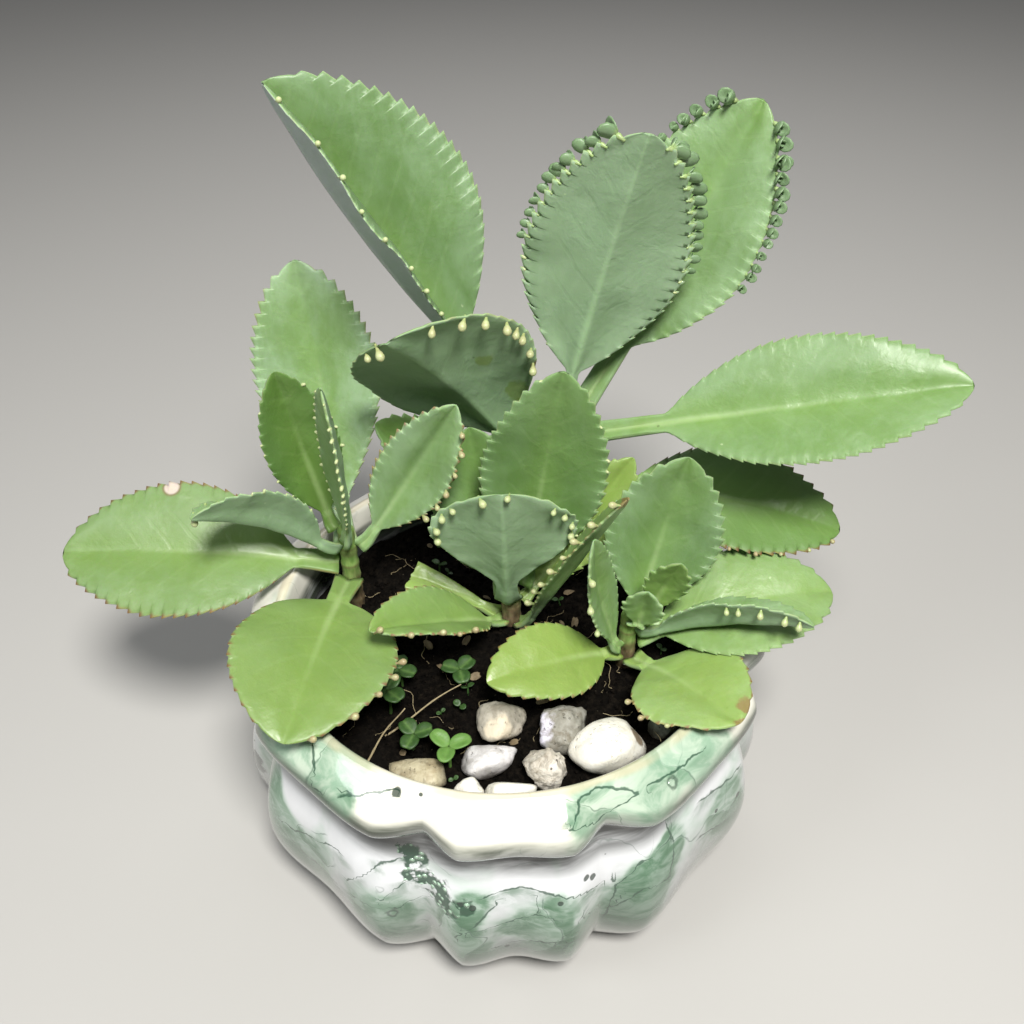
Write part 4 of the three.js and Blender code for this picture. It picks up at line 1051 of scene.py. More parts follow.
def end_tree(graph, given, result, geometry):
    """Every tree ends in real geometry with its material."""
    whole = graph.add("GeometryNodeRealizeInstances", {"Geometry": geometry}).outputs[0]
    done = graph.add("GeometryNodeSetMaterial", {"Geometry": whole, "Material": given["Material"]})
    graph.put(result["Geometry"], done.outputs[0])
    return graph.tree


def apply_tree(piece, tree, values):
    """Runs a geometry tree on a piece and keeps the result as its plain mesh."""
    modifier = piece.modifiers.new("shape", "NODES")
    modifier.node_group = tree
    for item in tree.interface.items_tree:
        if item.in_out == "INPUT" and item.name in values:
            modifier[item.identifier] = values[item.name]
    bpy.context.view_layer.update()
    graph = bpy.context.evaluated_depsgraph_get()
    mesh = bpy.data.meshes.new_from_object(
        piece.evaluated_get(graph), preserve_all_data_layers=True, depsgraph=graph)
    piece.modifiers.clear()
    piece.data = mesh
    return piece


def make_lobed_wall_tree():
    """Moves points out by a rule: a corner radius and a valley radius blended by the lobe's outline."""
    graph, given, result = geometry_tree("Lobed wall", [
        ("Lobes", FLOAT, 8.0), ("First Lobe", FLOAT, 0.0), ("Corner Share", FLOAT, 0.5),
        ("Valley Crease", FLOAT, 0.5), ("Narrowing", FLOAT, 0.0), ("Material", MATERIAL, None)])
    angle = graph.stored("angle")
    corner = graph.stored("corner")
    valley = graph.stored("valley")
    away = graph.minus(angle, given["First Lobe"])
    shift = graph.math("SINE", graph.times(away, graph.times(given["Lobes"], 0.5)))
    evened = graph.plus(away, graph.times(shift, given["Narrowing"]))
    turns = graph.times(evened, graph.math("DIVIDE", given["Lobes"], TAU))
    share = graph.math("FRACT", graph.plus(turns, 0.5 + WHOLE_TURNS))
    offset = graph.times(graph.math("ABSOLUTE", graph.minus(share, 0.5)), 2.0)
    inward = graph.math("DIVIDE", offset, given["Corner Share"])
    dip = graph.math("POWER", graph.math("COSINE", graph.times(inward, math.pi / 2)), 2.0)
    top = graph.minus(1.0, graph.times(graph.stored("face_dip"), dip))
    fall = graph.math("DIVIDE", graph.minus(offset, given["Corner Share"]),
                      graph.minus(1.0, given["Corner Share"]))
    round_side = graph.times(graph.plus(1.0, graph.math("COSINE", graph.times(fall, math.pi))), 0.5)
    side = graph.blend(given["Valley Crease"], round_side, graph.minus(1.0, fall))
    past = graph.math("GREATER_THAN", offset, given["Corner Share"])
    height = graph.blend(past, top, side)
    radius = graph.times(graph.blend(height, valley, corner), MM)
    spot = graph.add("ShaderNodeCombineXYZ", {
        0: graph.times(radius, graph.math("SINE", angle)),
        1: graph.times(radius, graph.times(graph.math("COSINE", angle), -1.0)),
        2: graph.height(graph.add("GeometryNodeInputPosition").outputs[0])})
    moved = graph.add("GeometryNodeSetPosition", {
        "Geometry": given["Geometry"], "Position": spot.outputs[0]})
    return end_tree(graph, given, result, moved.outputs[0])


def make_edge_row_tree():
    """Sets a small piece on each point, its Z along the point's aim and its X along the edge."""
    graph, given, result = geometry_tree("Row along an edge", [
        ("Piece", "NodeSocketObject", None), ("Tilt", FLOAT, 0.2), ("Size Spread", FLOAT, 0.15),
        ("Seed", "NodeSocketInt", 1), ("Material", MATERIAL, None)])
    spin = graph.add("FunctionNodeAlignRotationToVector", {
        "Vector": graph.stored("aim", "FLOAT_VECTOR")}, axis="Z")
    spin = graph.add("FunctionNodeAlignRotationToVector", {
        "Rotation": spin.outputs[0], "Vector": graph.stored("edge", "FLOAT_VECTOR")},
        axis="X", pivot_axis="Z")
    lean = graph.add("FunctionNodeRandomValue", data_type="FLOAT_VECTOR")
    graph.put(lean.inputs[0], graph.scaled((-1.0, -1.0, -1.0), given["Tilt"]))
    graph.put(lean.inputs[1], graph.scaled((1.0, 1.0, 1.0), given["Tilt"]))
    graph.put(lean.inputs["Seed"], given["Seed"])
    tilt = graph.add("FunctionNodeEulerToRotation", {0: lean.outputs[0]}).outputs[0]
    turned = graph.add("FunctionNodeRotateRotation", {0: spin.outputs[0], 1: tilt},
                       rotation_space="LOCAL")
    spread = graph.add("FunctionNodeRandomValue", data_type="FLOAT")
    graph.put(spread.inputs[2], graph.minus(1.0, given["Size Spread"]))
    graph.put(spread.inputs[3], graph.plus(1.0, given["Size Spread"]))
    graph.put(spread.inputs["Seed"], graph.plus(given["Seed"], 7.0))
    size = graph.times(spread.outputs[1], graph.stored("size"))
    shape = graph.add("GeometryNodeObjectInfo", {"Object": given["Piece"], "As Instance": True})
    placed = graph.add("GeometryNodeInstanceOnPoints", {
        "Points": given["Geometry"], "Instance": shape.outputs["Geometry"],
        "Rotation": turned.outputs[0], "Scale": size})
    return end_tree(graph, given, result, placed.outputs[0])


def make_scatter_tree():
    """Strews a small piece over the faces of a surface, turned about and tilted at random."""
    graph, given, result = geometry_tree("Strewn pieces", [
        ("Piece", "NodeSocketObject", None), ("Density", FLOAT, 1000.0), ("Smallest", FLOAT, 0.5),
        ("Largest", FLOAT, 1.5), ("Tilt", FLOAT, 0.3), ("Seed", "NodeSocketInt", 1),
        ("Material", MATERIAL, None)])
    spread = graph.add("GeometryNodeDistributePointsOnFaces", {
        "Mesh": given["Geometry"], "Density": given["Density"], "Seed": given["Seed"]})
    turn = graph.add("FunctionNodeRandomValue", data_type="FLOAT_VECTOR")
    lean = graph.times(given["Tilt"], -1.0)
    graph.put(turn.inputs[0], graph.add("ShaderNodeCombineXYZ", {0: lean, 1: lean, 2: 0.0}).outputs[0])
    graph.put(turn.inputs[1], graph.add("ShaderNodeCombineXYZ", {
        0: given["Tilt"], 1: given["Tilt"], 2: TAU}).outputs[0])
    graph.put(turn.inputs["Seed"], given["Seed"])
    size = graph.add("FunctionNodeRandomValue", data_type="FLOAT")
    graph.put(size.inputs[2], given["Smallest"])
    graph.put(size.inputs[3], given["Largest"])
    graph.put(size.inputs["Seed"], graph.plus(given["Seed"], 3.0))
    rotation = graph.add("FunctionNodeEulerToRotation", {0: turn.outputs[0]}).outputs[0]
    shape = graph.add("GeometryNodeObjectInfo", {"Object": given["Piece"], "As Instance": True})
    placed = graph.add("GeometryNodeInstanceOnPoints", {
        "Points": spread.outputs["Points"], "Instance": shape.outputs["Geometry"],
        "Rotation": rotation, "Scale": size.outputs[1]})
    return end_tree(graph, given, result, placed.outputs[0])


LOBED_WALL = make_lobed_wall_tree()
EDGE_ROW = make_edge_row_tree()
SCATTER = make_scatter_tree()


def settle(piece, slot_name, *nodes):
    """Puts a finished piece on the body, in place of CAD nodes. slot_name is not used."""
    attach(piece, "root")
    if nodes:
        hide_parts(*nodes)
    return piece


# Camera, at the photograph's viewing angle. Lens and sensor in millimetres, place in metres
CAMERA_SENSOR = 36.0
CAMERA_LENS = 35.156
CAMERA_PLACE = (0.0033, -0.252, 0.352)
CAMERA_DOWNWARDS = 40.3


def make_camera():
    data = bpy.data.cameras.new("camera")
    data.sensor_width = CAMERA_SENSOR
    data.lens = CAMERA_LENS
    camera = linked("camera", data)
    camera.location = CAMERA_PLACE
    camera.rotation_euler = (math.radians(90 - CAMERA_DOWNWARDS), 0, 0)
    bpy.context.scene.camera = camera


make_camera()


# Pot
POT_COLUMNS = LOBES * 58
POT_ROWS = 108
# Height and radius: the recess under the pot up to its foot ring
POT_UNDERSIDE = [(1.6, 46), (1.6, 58), (1.2, 60), (0.3, 61), (0.0, 62)]
RECESS = POT_UNDERSIDE[0][0]
# Height over the pot's top and the two radii: the round of the lip
LIP_ROUND = [(0.35, 80.6, 80.1), (0.4, 79.8, 79.5), (0.1, 78.9, 78.8), (-0.7, 78.2, 78.2)]
INSIDE_HEIGHTS = (93, 91, 88, 84, 78, 70, 55, 40, 25, 14, CAVITY_FLOOR + 2)
FLOOR_RADII = (58, 30)
# Stands for no streak nearby
FAR_MM = 30.0


def streak_values(place):
    """How far a place is from the nearest streak, on which side of it, and how strong its wash is."""
    nearest, signed, wash = FAR_MM, FAR_MM, 0.0
    for start, run, run_squared, side, reach in STREAK_PARTS:
        from_start = place - start
        off = from_start - run * clamp(from_start.dot(run) / run_squared)
        away = off.length
        towards = off.dot(side)
        if away < nearest:
            nearest = away
            signed = away if towards > 0 else -away
        if away < reach:
            fade = smooth_step(reach, 0, away) * smooth_step(0.0, 0.35, towards / (away + 0.2))
            wash = max(wash, fade)
    return nearest, signed, wash


def green_amount(place):
    """How much more green, or less, the patches give the glaze at a place."""
    push = 0.0
    for centre, radius, amount in PATCH_PARTS:
        away = (place - centre).length
        if away < radius * 1.2:
            push += amount * smooth_step(radius * 1.2, radius * 0.35, away)
    return push


PATCH_PARTS = [(on_pot(degrees, z), radius, amount) for degrees, z, radius, amount in GLAZE_PATCHES]
STREAK_PARTS = []
for streak_places, streak_reach, streak_side in GLAZE_STREAKS:
    for first, second in zip(streak_places, streak_places[1:]):
        first, second = on_pot(*first), on_pot(*second)
        STREAK_PARTS.append((first, second - first, (second - first).length_squared,
                             Vector(streak_side).normalized(), streak_reach))


def make_pot():
    """Rows of points from the underside up the outside, over the lip and down into the hollow."""
    rows = [(z, radius, radius) for z, radius in POT_UNDERSIDE]
    under = len(rows)
    for i in range(POT_ROWS + 1):
        z = POT_HEIGHT * i / POT_ROWS
        rows.append((z, through(POT_OUTLINE, z, 1), through(POT_OUTLINE, z, 2)))
    rows += [(POT_HEIGHT + rise, corner, valley) for rise, corner, valley in LIP_ROUND]
    rows += [(z, inside_radius(z), inside_radius(z)) for z in INSIDE_HEIGHTS]
    rows += [(CAVITY_FLOOR, radius, radius) for radius in FLOOR_RADII]
    points = []
    keys = ("angle", "corner", "valley", "face_dip", "green", "wash", "line_mm", "near_mm")
    shown = {key: [] for key in keys}

    def keep(point, *numbers):
        points.append(point)
        for key, number in zip(shown, numbers):
            shown[key].append(number)

    keep(Vector((0, 0, RECESS)), 0.0, 0.0, 0.0, 0.0, 0.0, 0.0, FAR_MM, FAR_MM)
    angles = [LOBE_CENTRE + TAU * k / POT_COLUMNS for k in range(POT_COLUMNS)]
    for r, (z, corner, valley) in enumerate(rows):
        seen = under <= r <= under + POT_ROWS + len(LIP_ROUND)
        dip = face_dip(z)
        for angle in angles:
            place = on_circle(lerp(valley, corner, lobe_height(angle, dip)), angle, z)
            near, signed, wash = streak_values(place) if seen else (FAR_MM, FAR_MM, 0.0)
            keep(on_circle(corner, angle, z), angle, corner, valley, dip, green_amount(place), wash,
                 signed, near)
    keep(Vector((0, 0, CAVITY_FLOOR)), 0.0, 0.0, 0.0, 0.0, 0.0, 0.0, FAR_MM, FAR_MM)
    faces = tube_faces(len(rows), POT_COLUMNS)
    piece = new_piece("pot_glazed", points, faces, shown)
    apply_tree(piece, LOBED_WALL, {
        "Lobes": float(LOBES), "First Lobe": LOBE_CENTRE, "Corner Share": LOBE_CORNER,
        "Valley Crease": VALLEY_CREASE, "Narrowing": NARROWING, "Material": GLAZE})
    face_outwards(piece)
    settle(piece, "glaze", "pot")


make_pot()


# Leaves


def stem_axis(stem, z):
    share = (z - SOIL_LEVEL) / (stem["top"][2] - SOIL_LEVEL)
    foot, top = stem["foot"], stem["top"]
    return Vector((lerp(foot[0], top[0], share), lerp(foot[1], top[1], share), z))


def stem_radius(stem, z):
    share = clamp((z - SOIL_LEVEL) / (stem["top"][2] - SOIL_LEVEL))
    return stem["radius"] * lerp(1, STEM_TAPER, share)


def leaf_frame(form):
    """The midrib of a leaf, as a function of the share u of its length, then the leaf's length and the
    way from its stalk to the stem's axis."""
    stem = STEMS[form["plant"]]
    axis = stem_axis(stem, form["node"])
    tip = Vector(form["tip"])
    out = Vector((tip.x - axis.x, tip.y - axis.y, 0)).normalized()
    clear = stem_radius(stem, form["node"]) * (1 + STEM_RIDGE) + GAP + RIB_THICKNESS / 2 + STALK_CLEARANCE
    base = axis + out * clear
    line = (tip - base).normalized()
    face = Vector(form["face"])
    face = (face - line * face.dot(line)).normalized()
    middle = (base + tip) / 2 + face * (form["bow"] * 2)

    def frame_at(u):
        point = base * (1 - u) ** 2 + middle * (2 * u * (1 - u)) + tip * u * u
        ahead = ((middle - base) * (1 - u) + (tip - middle) * u).normalized()
        up = (face - ahead * face.dot(ahead)).normalized()
        return point, ahead, up, ahead.cross(up)

    return frame_at, (tip - base).length, -out


def blade_half(form, s):
    """Half the width of a blade at a share s of its length, with a soft change to the stalk."""
    stalk = (form["stalk"] or clamp(form["width"] * STALK_SHARE, *STALK_WIDTHS)) / 2
    if form["cut"]:
        return lerp(stalk, form["width"] / 2, clamp(s))
    if s <= 0:
        return stalk
    if s >= 1:
        return 0.0
    fullness = form["base"] if s < form["widest"] else TIP_FULLNESS
    outline = math.sin(math.pi * s ** (math.log(0.5) / math.log(form["widest"]))) ** fullness
    return ((outline * form["width"] / 2) ** 4 + (stalk * (1 - s)) ** 4) ** 0.25


TOOTH_SPACING = 4.0
TOOTH_TIP = 0.82
TOOTH_PHASES = (0.0, 0.3, 0.6, TOOTH_TIP, 0.92)
TOOTH_LEAN = 1.3
NOTCH_DEPTH = 0.25


def tooth_rise(phase):
    """0 in a notch, 1 on the tip of a tooth, which leans forwards."""
    if phase < TOOTH_TIP:
        return (phase / TOOTH_TIP) ** 1.15
    return 1 - ((phase - TOOTH_TIP) / (1 - TOOTH_TIP)) ** 1.4


HALF_COLUMNS = (0.05, 0.12, 0.22, 0.36, 0.52, 0.67, 0.8, 0.9, 0.965, 1.0)
COLUMNS = [-t for t in reversed(HALF_COLUMNS)] + [0.0] + list(HALF_COLUMNS)
STALK_RUNOUT = 1.4
# Degrees that a stalk's sides are folded up
STALK_FOLD = 28
# Degrees past which a folded half shows a greyer skin, made paler by painted bounce light
STEEP_FOLD = 60
# Share of the half width where the rim begins
RIM_START = 0.86
# Bulge and sway as shares of the half width, ripples at the rim and dents on the face in millimetres
BULGE = 0.045
SWAY = 0.075
RIM_RIPPLE = 0.40
FACE_DENT = 0.5
# Groove on top and ridge below the midrib, in millimetres
GROOVE_DEPTH = 0.42
RIDGE_HEIGHT = 0.65
# The higher, the fuller the rim's round
RIM_FULLNESS = 28


def blade_point(form, frame_at, s, t, wave_seed, tooth=0.0, petiole_share=0.0):
    """A place in the middle of the blade: s from base to tip, t from the left rim to the right one."""
    u = form["petiole"] * petiole_share if s < 0 else form["petiole"] + (1 - form["petiole"]) * s
    point, ahead, up, right = frame_at(u)
    half = blade_half(form, s)
    if s < 0:
        half += STALK_RUNOUT * (1 - petiole_share) ** 2
    side = 1 if t >= 0 else -1
    reach = abs(t)
    fold = math.radians(form["cup"][0 if side > 0 else 1])
    if s < 0:
        fold = lerp(fold, math.radians(STALK_FOLD), 0.5)
    fold *= smooth_step(0.0, 0.34, reach)
    out = right * (side * math.cos(fold)) + up * math.sin(fold)
    normal = up * math.cos(fold) - right * (side * math.sin(fold))
    out_by = half * reach
    lift = 0.0
    lean = 0.0
    if s >= 0:
        lift += BULGE * half * math.sin(math.pi * reach) * smooth_step(0, 0.15, s)
        sway = noise.noise(Vector((s * 4.2, side * 3.1, wave_seed)))
        lift += SWAY * half * sway * reach**2
        ripple = noise.noise(Vector((s * 13.0, side * 5.7, wave_seed + 9.0)))
        lift += RIM_RIPPLE * ripple * reach**3 * min(1, half / 10)
        dent = noise.noise(Vector((s * 6.5, t * 2.3, wave_seed + 4.0)))
        lift += FACE_DENT * dent * min(1, half / 12)
        near_rim = smooth_step(RIM_START, 1.0, reach)
        size = form["jag"] * min(1, half / 7)
        out_by += (tooth * (1 + NOTCH_DEPTH) - NOTCH_DEPTH) * TOOTH_DEPTH * size * near_rim
        lean = (tooth * TOOTH_LEAN - 0.3) * size * near_rim
        if form["cut"]:
            lean += 2.2 * noise.noise(Vector((t * 3.0, 1.0, wave_seed))) * smooth_step(0.8, 1.0, s)
    place = point + out * out_by + normal * lift + ahead * lean
    return place, normal, out, ahead, half


def blade_stations(form, length):
    """(s, share of the petiole, phase within a tooth) from the base to the tip."""
    blade_length = length * (1 - form["petiole"])
    teeth = max(4, round(blade_length / TOOTH_SPACING))
    stations = [(-1.0, i / 7, 0.0) for i in range(7)]
    for i in range(teeth):
        stations += [((i + phase) / teeth, 0.0, phase) for phase in TOOTH_PHASES]
    stations.append((0.995, 0.0, 0.0))
    return stations, teeth


def make_blade(name, form, index):
    frame_at, length, inward = leaf_frame(form)
    stations, teeth = blade_stations(form, length)
    seed = index * 7.31
    points = []
    shown = {key: [] for key in ("across", "side_mm", "along", "along_mm", "upper", "tooth", "ashen_lit")}

    def keep(point, t, half, s, upper, tooth):
        points.append(point)
        shown["across"].append(t)
        shown["side_mm"].append(t * half)
        shown["along"].append(max(s, 0.0))
        shown["along_mm"].append(max(s, 0.0) * length)
        shown["upper"].append(upper)
        shown["tooth"].append(tooth)
        shown["ashen_lit"].append(1.0 if form["cup"][0 if t >= 0 else 1] > STEEP_FOLD else 0.0)

    start = frame_at(0)[0] + inward * STALK_RUNOUT
    keep(start, 0, 0, 0, 0.5, 0)
    for s, share, phase in stations:
        rise = tooth_rise(phase) * smooth_step(0.0, 0.06, s) * smooth_step(1.0, 0.93, s) if s > 0 else 0.0
        rib = lerp(RIB_THICKNESS, EDGE_THICKNESS, max(s, 0)) / 2
        pull = inward * (STALK_RUNOUT * max(0.0, 1 - share * 3)) if s < 0 else Vector()
        rib_left = 1 - max(s, 0)
        lower = []
        for t in reversed(COLUMNS):
            place, normal, out, ahead, half = blade_point(form, frame_at, s, t, seed, rise, share)
            place = place + pull
            reach = abs(t)
            thick = lerp(rib, EDGE_THICKNESS / 2, smooth_step(0, 0.5, reach))
            if s < 0:
                thick = RIB_THICKNESS * lerp(0.62, 0.38, reach)
            thick *= math.sqrt(max(0.06, 1 - reach**RIM_FULLNESS))
            thick *= lerp(0.35, 1, smooth_step(1.0, 0.96, s)) if not form["cut"] else 1
            groove = GROOVE_DEPTH * math.exp(-((t * half / 2.0) ** 2)) * rib_left**0.5
            ridge_width = 0.9 + 1.3 * rib_left
            ridge = RIDGE_HEIGHT * math.exp(-((t * half / ridge_width) ** 2)) * rib_left**0.6
            mark = rise * smooth_step(RIM_START, 1.0, reach)
            keep(place + normal * (thick - groove), t, half, s, 1.0, mark)
            lower.append((place - normal * (thick + ridge), t, half, s, 0.0, mark))
        for entry in reversed(lower):
            keep(*entry)
    end = frame_at(1)[0]
    keep(end, 0, 0, 1, 0.5, 0)
    count = len(COLUMNS) * 2
    faces = tube_faces(len(stations), count)
    for key in ("yellow", "deep", "bloom", "aged"):
        shown[key] = [form[key]] * len(points)
    piece = new_piece(f"{name}_blade", points, faces, shown)
    face_outwards(piece)
    yellow = name in YELLOW_NODES
    piece.data.materials.append(LEAF_YELLOW if yellow else LEAF_GREEN)
    settle(piece, "yellow_leaf" if yellow else "green_leaf", name)
    return frame_at, teeth, seed


def turned_shape(name, profile, sides, low, high):
    """A small closed shape turned about Z. Its height attribute runs from 0 at low to 1 at high."""
    points = [Vector((0, 0, profile[0][1] - 0.15))]
    for radius, z in profile:
        points += [on_circle(radius, TAU * k / sides, z) for k in range(sides)]
    points.append(Vector((0, 0, profile[-1][1] + 0.25)))
    heights = [clamp((p.z - low) / (high - low)) for p in points]
    piece = new_piece(name, points, tube_faces(len(profile), sides), {"height": heights})
    face_outwards(piece)
    return piece


def little_leaf(length, width, thick, tilt, turn, root, notch=0.0, sides=12):
    """Points and faces of a small round leaf that leaves root, cupped and tilted."""
    out = Vector((math.cos(turn), math.sin(turn), 0))
    across = Vector((-math.sin(turn), math.cos(turn), 0))
    axis = out * math.cos(tilt) + UP * math.sin(tilt)
    normal = axis.cross(across)
    rings = []
    for size, rise in ((0.8, -0.5), (1.0, 0.0), (0.86, 0.5), (0.45, 0.42)):
        ring = []
        for k in range(sides):
            angle = TAU * k / sides
            from_tip = min(angle, TAU - angle)
            reach = 0.5 + 0.5 * math.cos(angle) * size - notch * math.exp(-from_tip**2 / 0.12) * size
            cup = 0.12 * length * (math.sin(angle) * size) ** 2
            ring.append(root + axis * (length * reach) + across * (width / 2 * math.sin(angle) * size)
                        + normal * (rise * thick + cup))
        rings.append(ring)
    centre = root + axis * (length * 0.5)
    points = [centre - normal * (0.45 * thick)] + [p for ring in rings for p in ring]
    points.append(centre + normal * (0.3 * thick))
    return points, tube_faces(len(rings), sides)


def make_leaflet_shape():
    """A plantlet: a pale round foot with two pairs of leaflets, the larger ones seen flat along Y."""
    points, faces = [], []
    parts = [(6.0, 4.9, 0.65, 1.1, math.pi / 2, 1.3), (5.6, 4.6, 0.65, 1.0, -math.pi / 2, 1.2),
             (3.0, 2.6, 0.6, 1.2, 0.0, 1.8), (2.8, 2.4, 0.6, 1.2, math.pi, 1.8)]
    for length, width, thick, tilt, turn, high in parts:
        some, more = little_leaf(length, width, thick, tilt, turn, Vector((0, 0, high)), sides=10)
        faces += [tuple(i + len(points) for i in face) for face in more]
        points += some
    leaves = new_piece("leaflets", points, faces, {"height": [clamp((p.z + 0.5) / 5) for p in points]})
    foot_profile = [(0.4, -1.0), (0.6, 0.1), (0.85, 0.8), (0.8, 1.4), (0.4, 1.9)]
    foot = turned_shape("foot", foot_profile, 8, -0.5, 4.5)
    piece = joined("leaflet_shape", [foot, leaves])
    face_outwards(piece)
    return piece


# Radius and height of each ring
BUD_PROFILE = [(0.45, -1.0), (0.5, 0.5), (0.75, 1.4), (1.25, 2.4), (1.5, 3.4), (1.3, 4.2), (0.7, 4.8)]
NUB_PROFILE = [(0.4, -0.4), (0.6, 0.4), (0.45, 1.1)]
BUD_SHAPE = turned_shape("bud_shape", BUD_PROFILE, 9, -1, 5)
NUB_SHAPE = turned_shape("nub_shape", NUB_PROFILE, 6, -2, 1)
LEAFLET_SHAPE = make_leaflet_shape()
# How far a plantlet looks out of the rim and up from the upper side
AIM_OUT = (1, 0.5)
AIM_HANGING = (-0.45, -0.9)
ROOT_DEPTH = 1.2
# Where buds stay small
BUD_SIZES = {
    "leaf_back_left": 0.6, "leaf_back_low_right": 0.6, "leaf_right_low": 0.65,
    "leaf_middle_slanted": 0.75, "leaf_middle_low_left": 0.75, "leaf_left_leaning": 0.75,
    "leaf_right_folded": 0.75, "leaf_right_narrow": 0.8, "leaf_left_drooping": 0.85,
    "leaf_middle_hood": 0.85,
}
PLANTLET_SEED = 500


def edge_row(name, form, frame_at, places, seed, aim):
    """A mesh of bare points on the rim, with the way each plantlet looks."""
    points, aims, edges, sizes, aged = [], [], [], [], []
    for side, s, size in places:
        place, normal, out, ahead, half = blade_point(form, frame_at, s, float(side), seed)
        points.append(place - out * (ROOT_DEPTH if aim == AIM_HANGING else 0.0))
        aims.append((out * aim[0] + normal * aim[1]).normalized())
        edges.append(ahead)
        sizes.append(size)
        aged.append(form["aged"])
    return new_piece(name, points, [], {"aim": aims, "edge": edges, "size": sizes, "aged": aged})


def make_plantlets(name, form, frame_at, teeth, seed, index):
    """The buds or leaflets that the leaf's rows ask for, and small nubs in some of the bare notches."""
    rng = random.Random(PLANTLET_SEED + index)
    grown = []
    for side, start, stop, count in form["plantlets"]:
        number = count * 2 if form["leaflets"] else count
        for i in range(number):
            share = i / (number - 1)
            if form["leaflets"]:
                s = clamp(round(lerp(start, stop, share) * teeth) / teeth, 0, 1 - 0.35 / teeth)
                size = lerp(0.6, 1.05, share) * rng.uniform(0.9, 1.1)
            else:
                s = lerp(start, stop, share) + rng.uniform(-0.3, 0.3) / teeth
                size = BUD_SIZES.get(name, 1.0) * rng.uniform(0.75, 1.08)
            grown.append((side, s, size))
    bare = []
    for side in (RIGHT, LEFT):
        for i in range(2, teeth):
            s = i / teeth
            alone = all(g[0] != side or abs(g[1] - s) > 0.6 / teeth for g in grown)
            if rng.random() < form["nubs"] and alone:
                bare.append((side, s, rng.uniform(0.6, 1.2)))
    parts = []
    if grown:
        shape = LEAFLET_SHAPE if form["leaflets"] else BUD_SHAPE
        row = edge_row("row", form, frame_at, grown, seed, AIM_HANGING if form["hang"] else AIM_OUT)
        parts.append(apply_tree(row, EDGE_ROW, {
            "Piece": shape, "Tilt": 0.22, "Size Spread": 0.05, "Seed": index + 1,
            "Material": LEAFLET_BLUE if form["leaflets"] else BUD_PALE}))
    if bare:
        row = edge_row("row", form, frame_at, bare, seed, AIM_OUT)
        parts.append(apply_tree(row, EDGE_ROW, {
            "Piece": NUB_SHAPE, "Tilt": 0.3, "Size Spread": 0.1, "Seed": index + 40,
            "Material": BUD_PALE}))
    if parts:
        piece = joined(f"{name}_plantlets", parts)
        settle(piece, "yellow_leaf" if name in YELLOW_NODES else "green_leaf")


for number, (leaf_name, leaf_form) in enumerate(LEAVES.items()):
    blade_frame, tooth_count, blade_seed = make_blade(leaf_name, leaf_form, number)
    make_plantlets(leaf_name, leaf_form, blade_frame, tooth_count, blade_seed, number)
remove(BUD_SHAPE, NUB_SHAPE, LEAFLET_SHAPE)


# Stems
STEM_SIDES = 28
# Heights of old leaf scars low on a stem
OLD_SCARS = (79, 84, 89)


def make_stem(plant, stem, index):
    low, high = SOIL_LEVEL - STEM_DEPTH, stem["top"][2]
    nodes = sorted({form["node"] for form in LEAVES.values() if form["plant"] == plant})
    nodes += [z for z in OLD_SCARS if all(abs(z - n) > 2.5 for n in nodes)]
    steps = round((high - low) / 0.9)
    path, radii, scars = [], [], [0.0]
    for i in range(steps + 1):
        z = lerp(low, high, i / steps)
        near = min(abs(z - n) for n in nodes)
        swell = 0.09 * math.exp(-((near / 1.3) ** 2)) - 0.03
        wobble = 0.05 * noise.noise(Vector((z * 0.21, index * 4.7, 0.3)))
        top = smooth_step(high + 0.5, high - 3.0, z)
        path.append(stem_axis(stem, z))
        radii.append(stem_radius(stem, z) * (1 + swell + wobble) * lerp(0.35, 1.0, top))
        scars += [math.exp(-((near / 0.7) ** 2))] * STEM_SIDES
    scars.append(0.0)
    piece = tube(f"stem_{plant}_bark", path, radii, STEM_SIDES, {"scar": scars})
    piece.data.materials.append(BARK)
    settle(piece, "bark", f"stem_{plant}")


for number, (plant_name, plant_stem) in enumerate(STEMS.items()):
    make_stem(plant_name, plant_stem, number)


# Pebbles

PEBBLE_SEED = 70
FLAT_FACES = 16
# How flat the faces of each finish are, and how rough its skin
STONE_FORMS = {
    "grey stone": (8, 0.12), "white quartz": (9, 0.08), "grey quartz": (8, 0.20),
    "crusty limestone": (8, 0.40), "smooth cream stone": (6, 0.03), "brown cream stone": (6, 0.05),
    "grey green stone": (9, 0.15),
}


def stone_points(work, rng, hardness, crust, shift):
    """Moves the points of a unit ball onto a worn stone with softly rounded flat faces."""
    planes = []
    for _ in range(FLAT_FACES):
        way = Vector((rng.gauss(0, 1), rng.gauss(0, 1), rng.gauss(0, 1))).normalized()
        planes.append((way, rng.uniform(0.80, 1.0)))
    for vertex in work.verts:
        way = vertex.co.normalized()
        total = sum(max(0.0, way.dot(normal) / reach) ** hardness for normal, reach in planes)
        radius = min(1.15, total ** (-1 / hardness))
        bump = 1 + crust * (0.35 * noise.noise(way * 2.2 + shift) + 0.25 * noise.noise(way * 5.0 + shift)
                            + 0.12 * noise.noise(way * 13.0 + shift))
        vertex.co = way * (radius * bump)


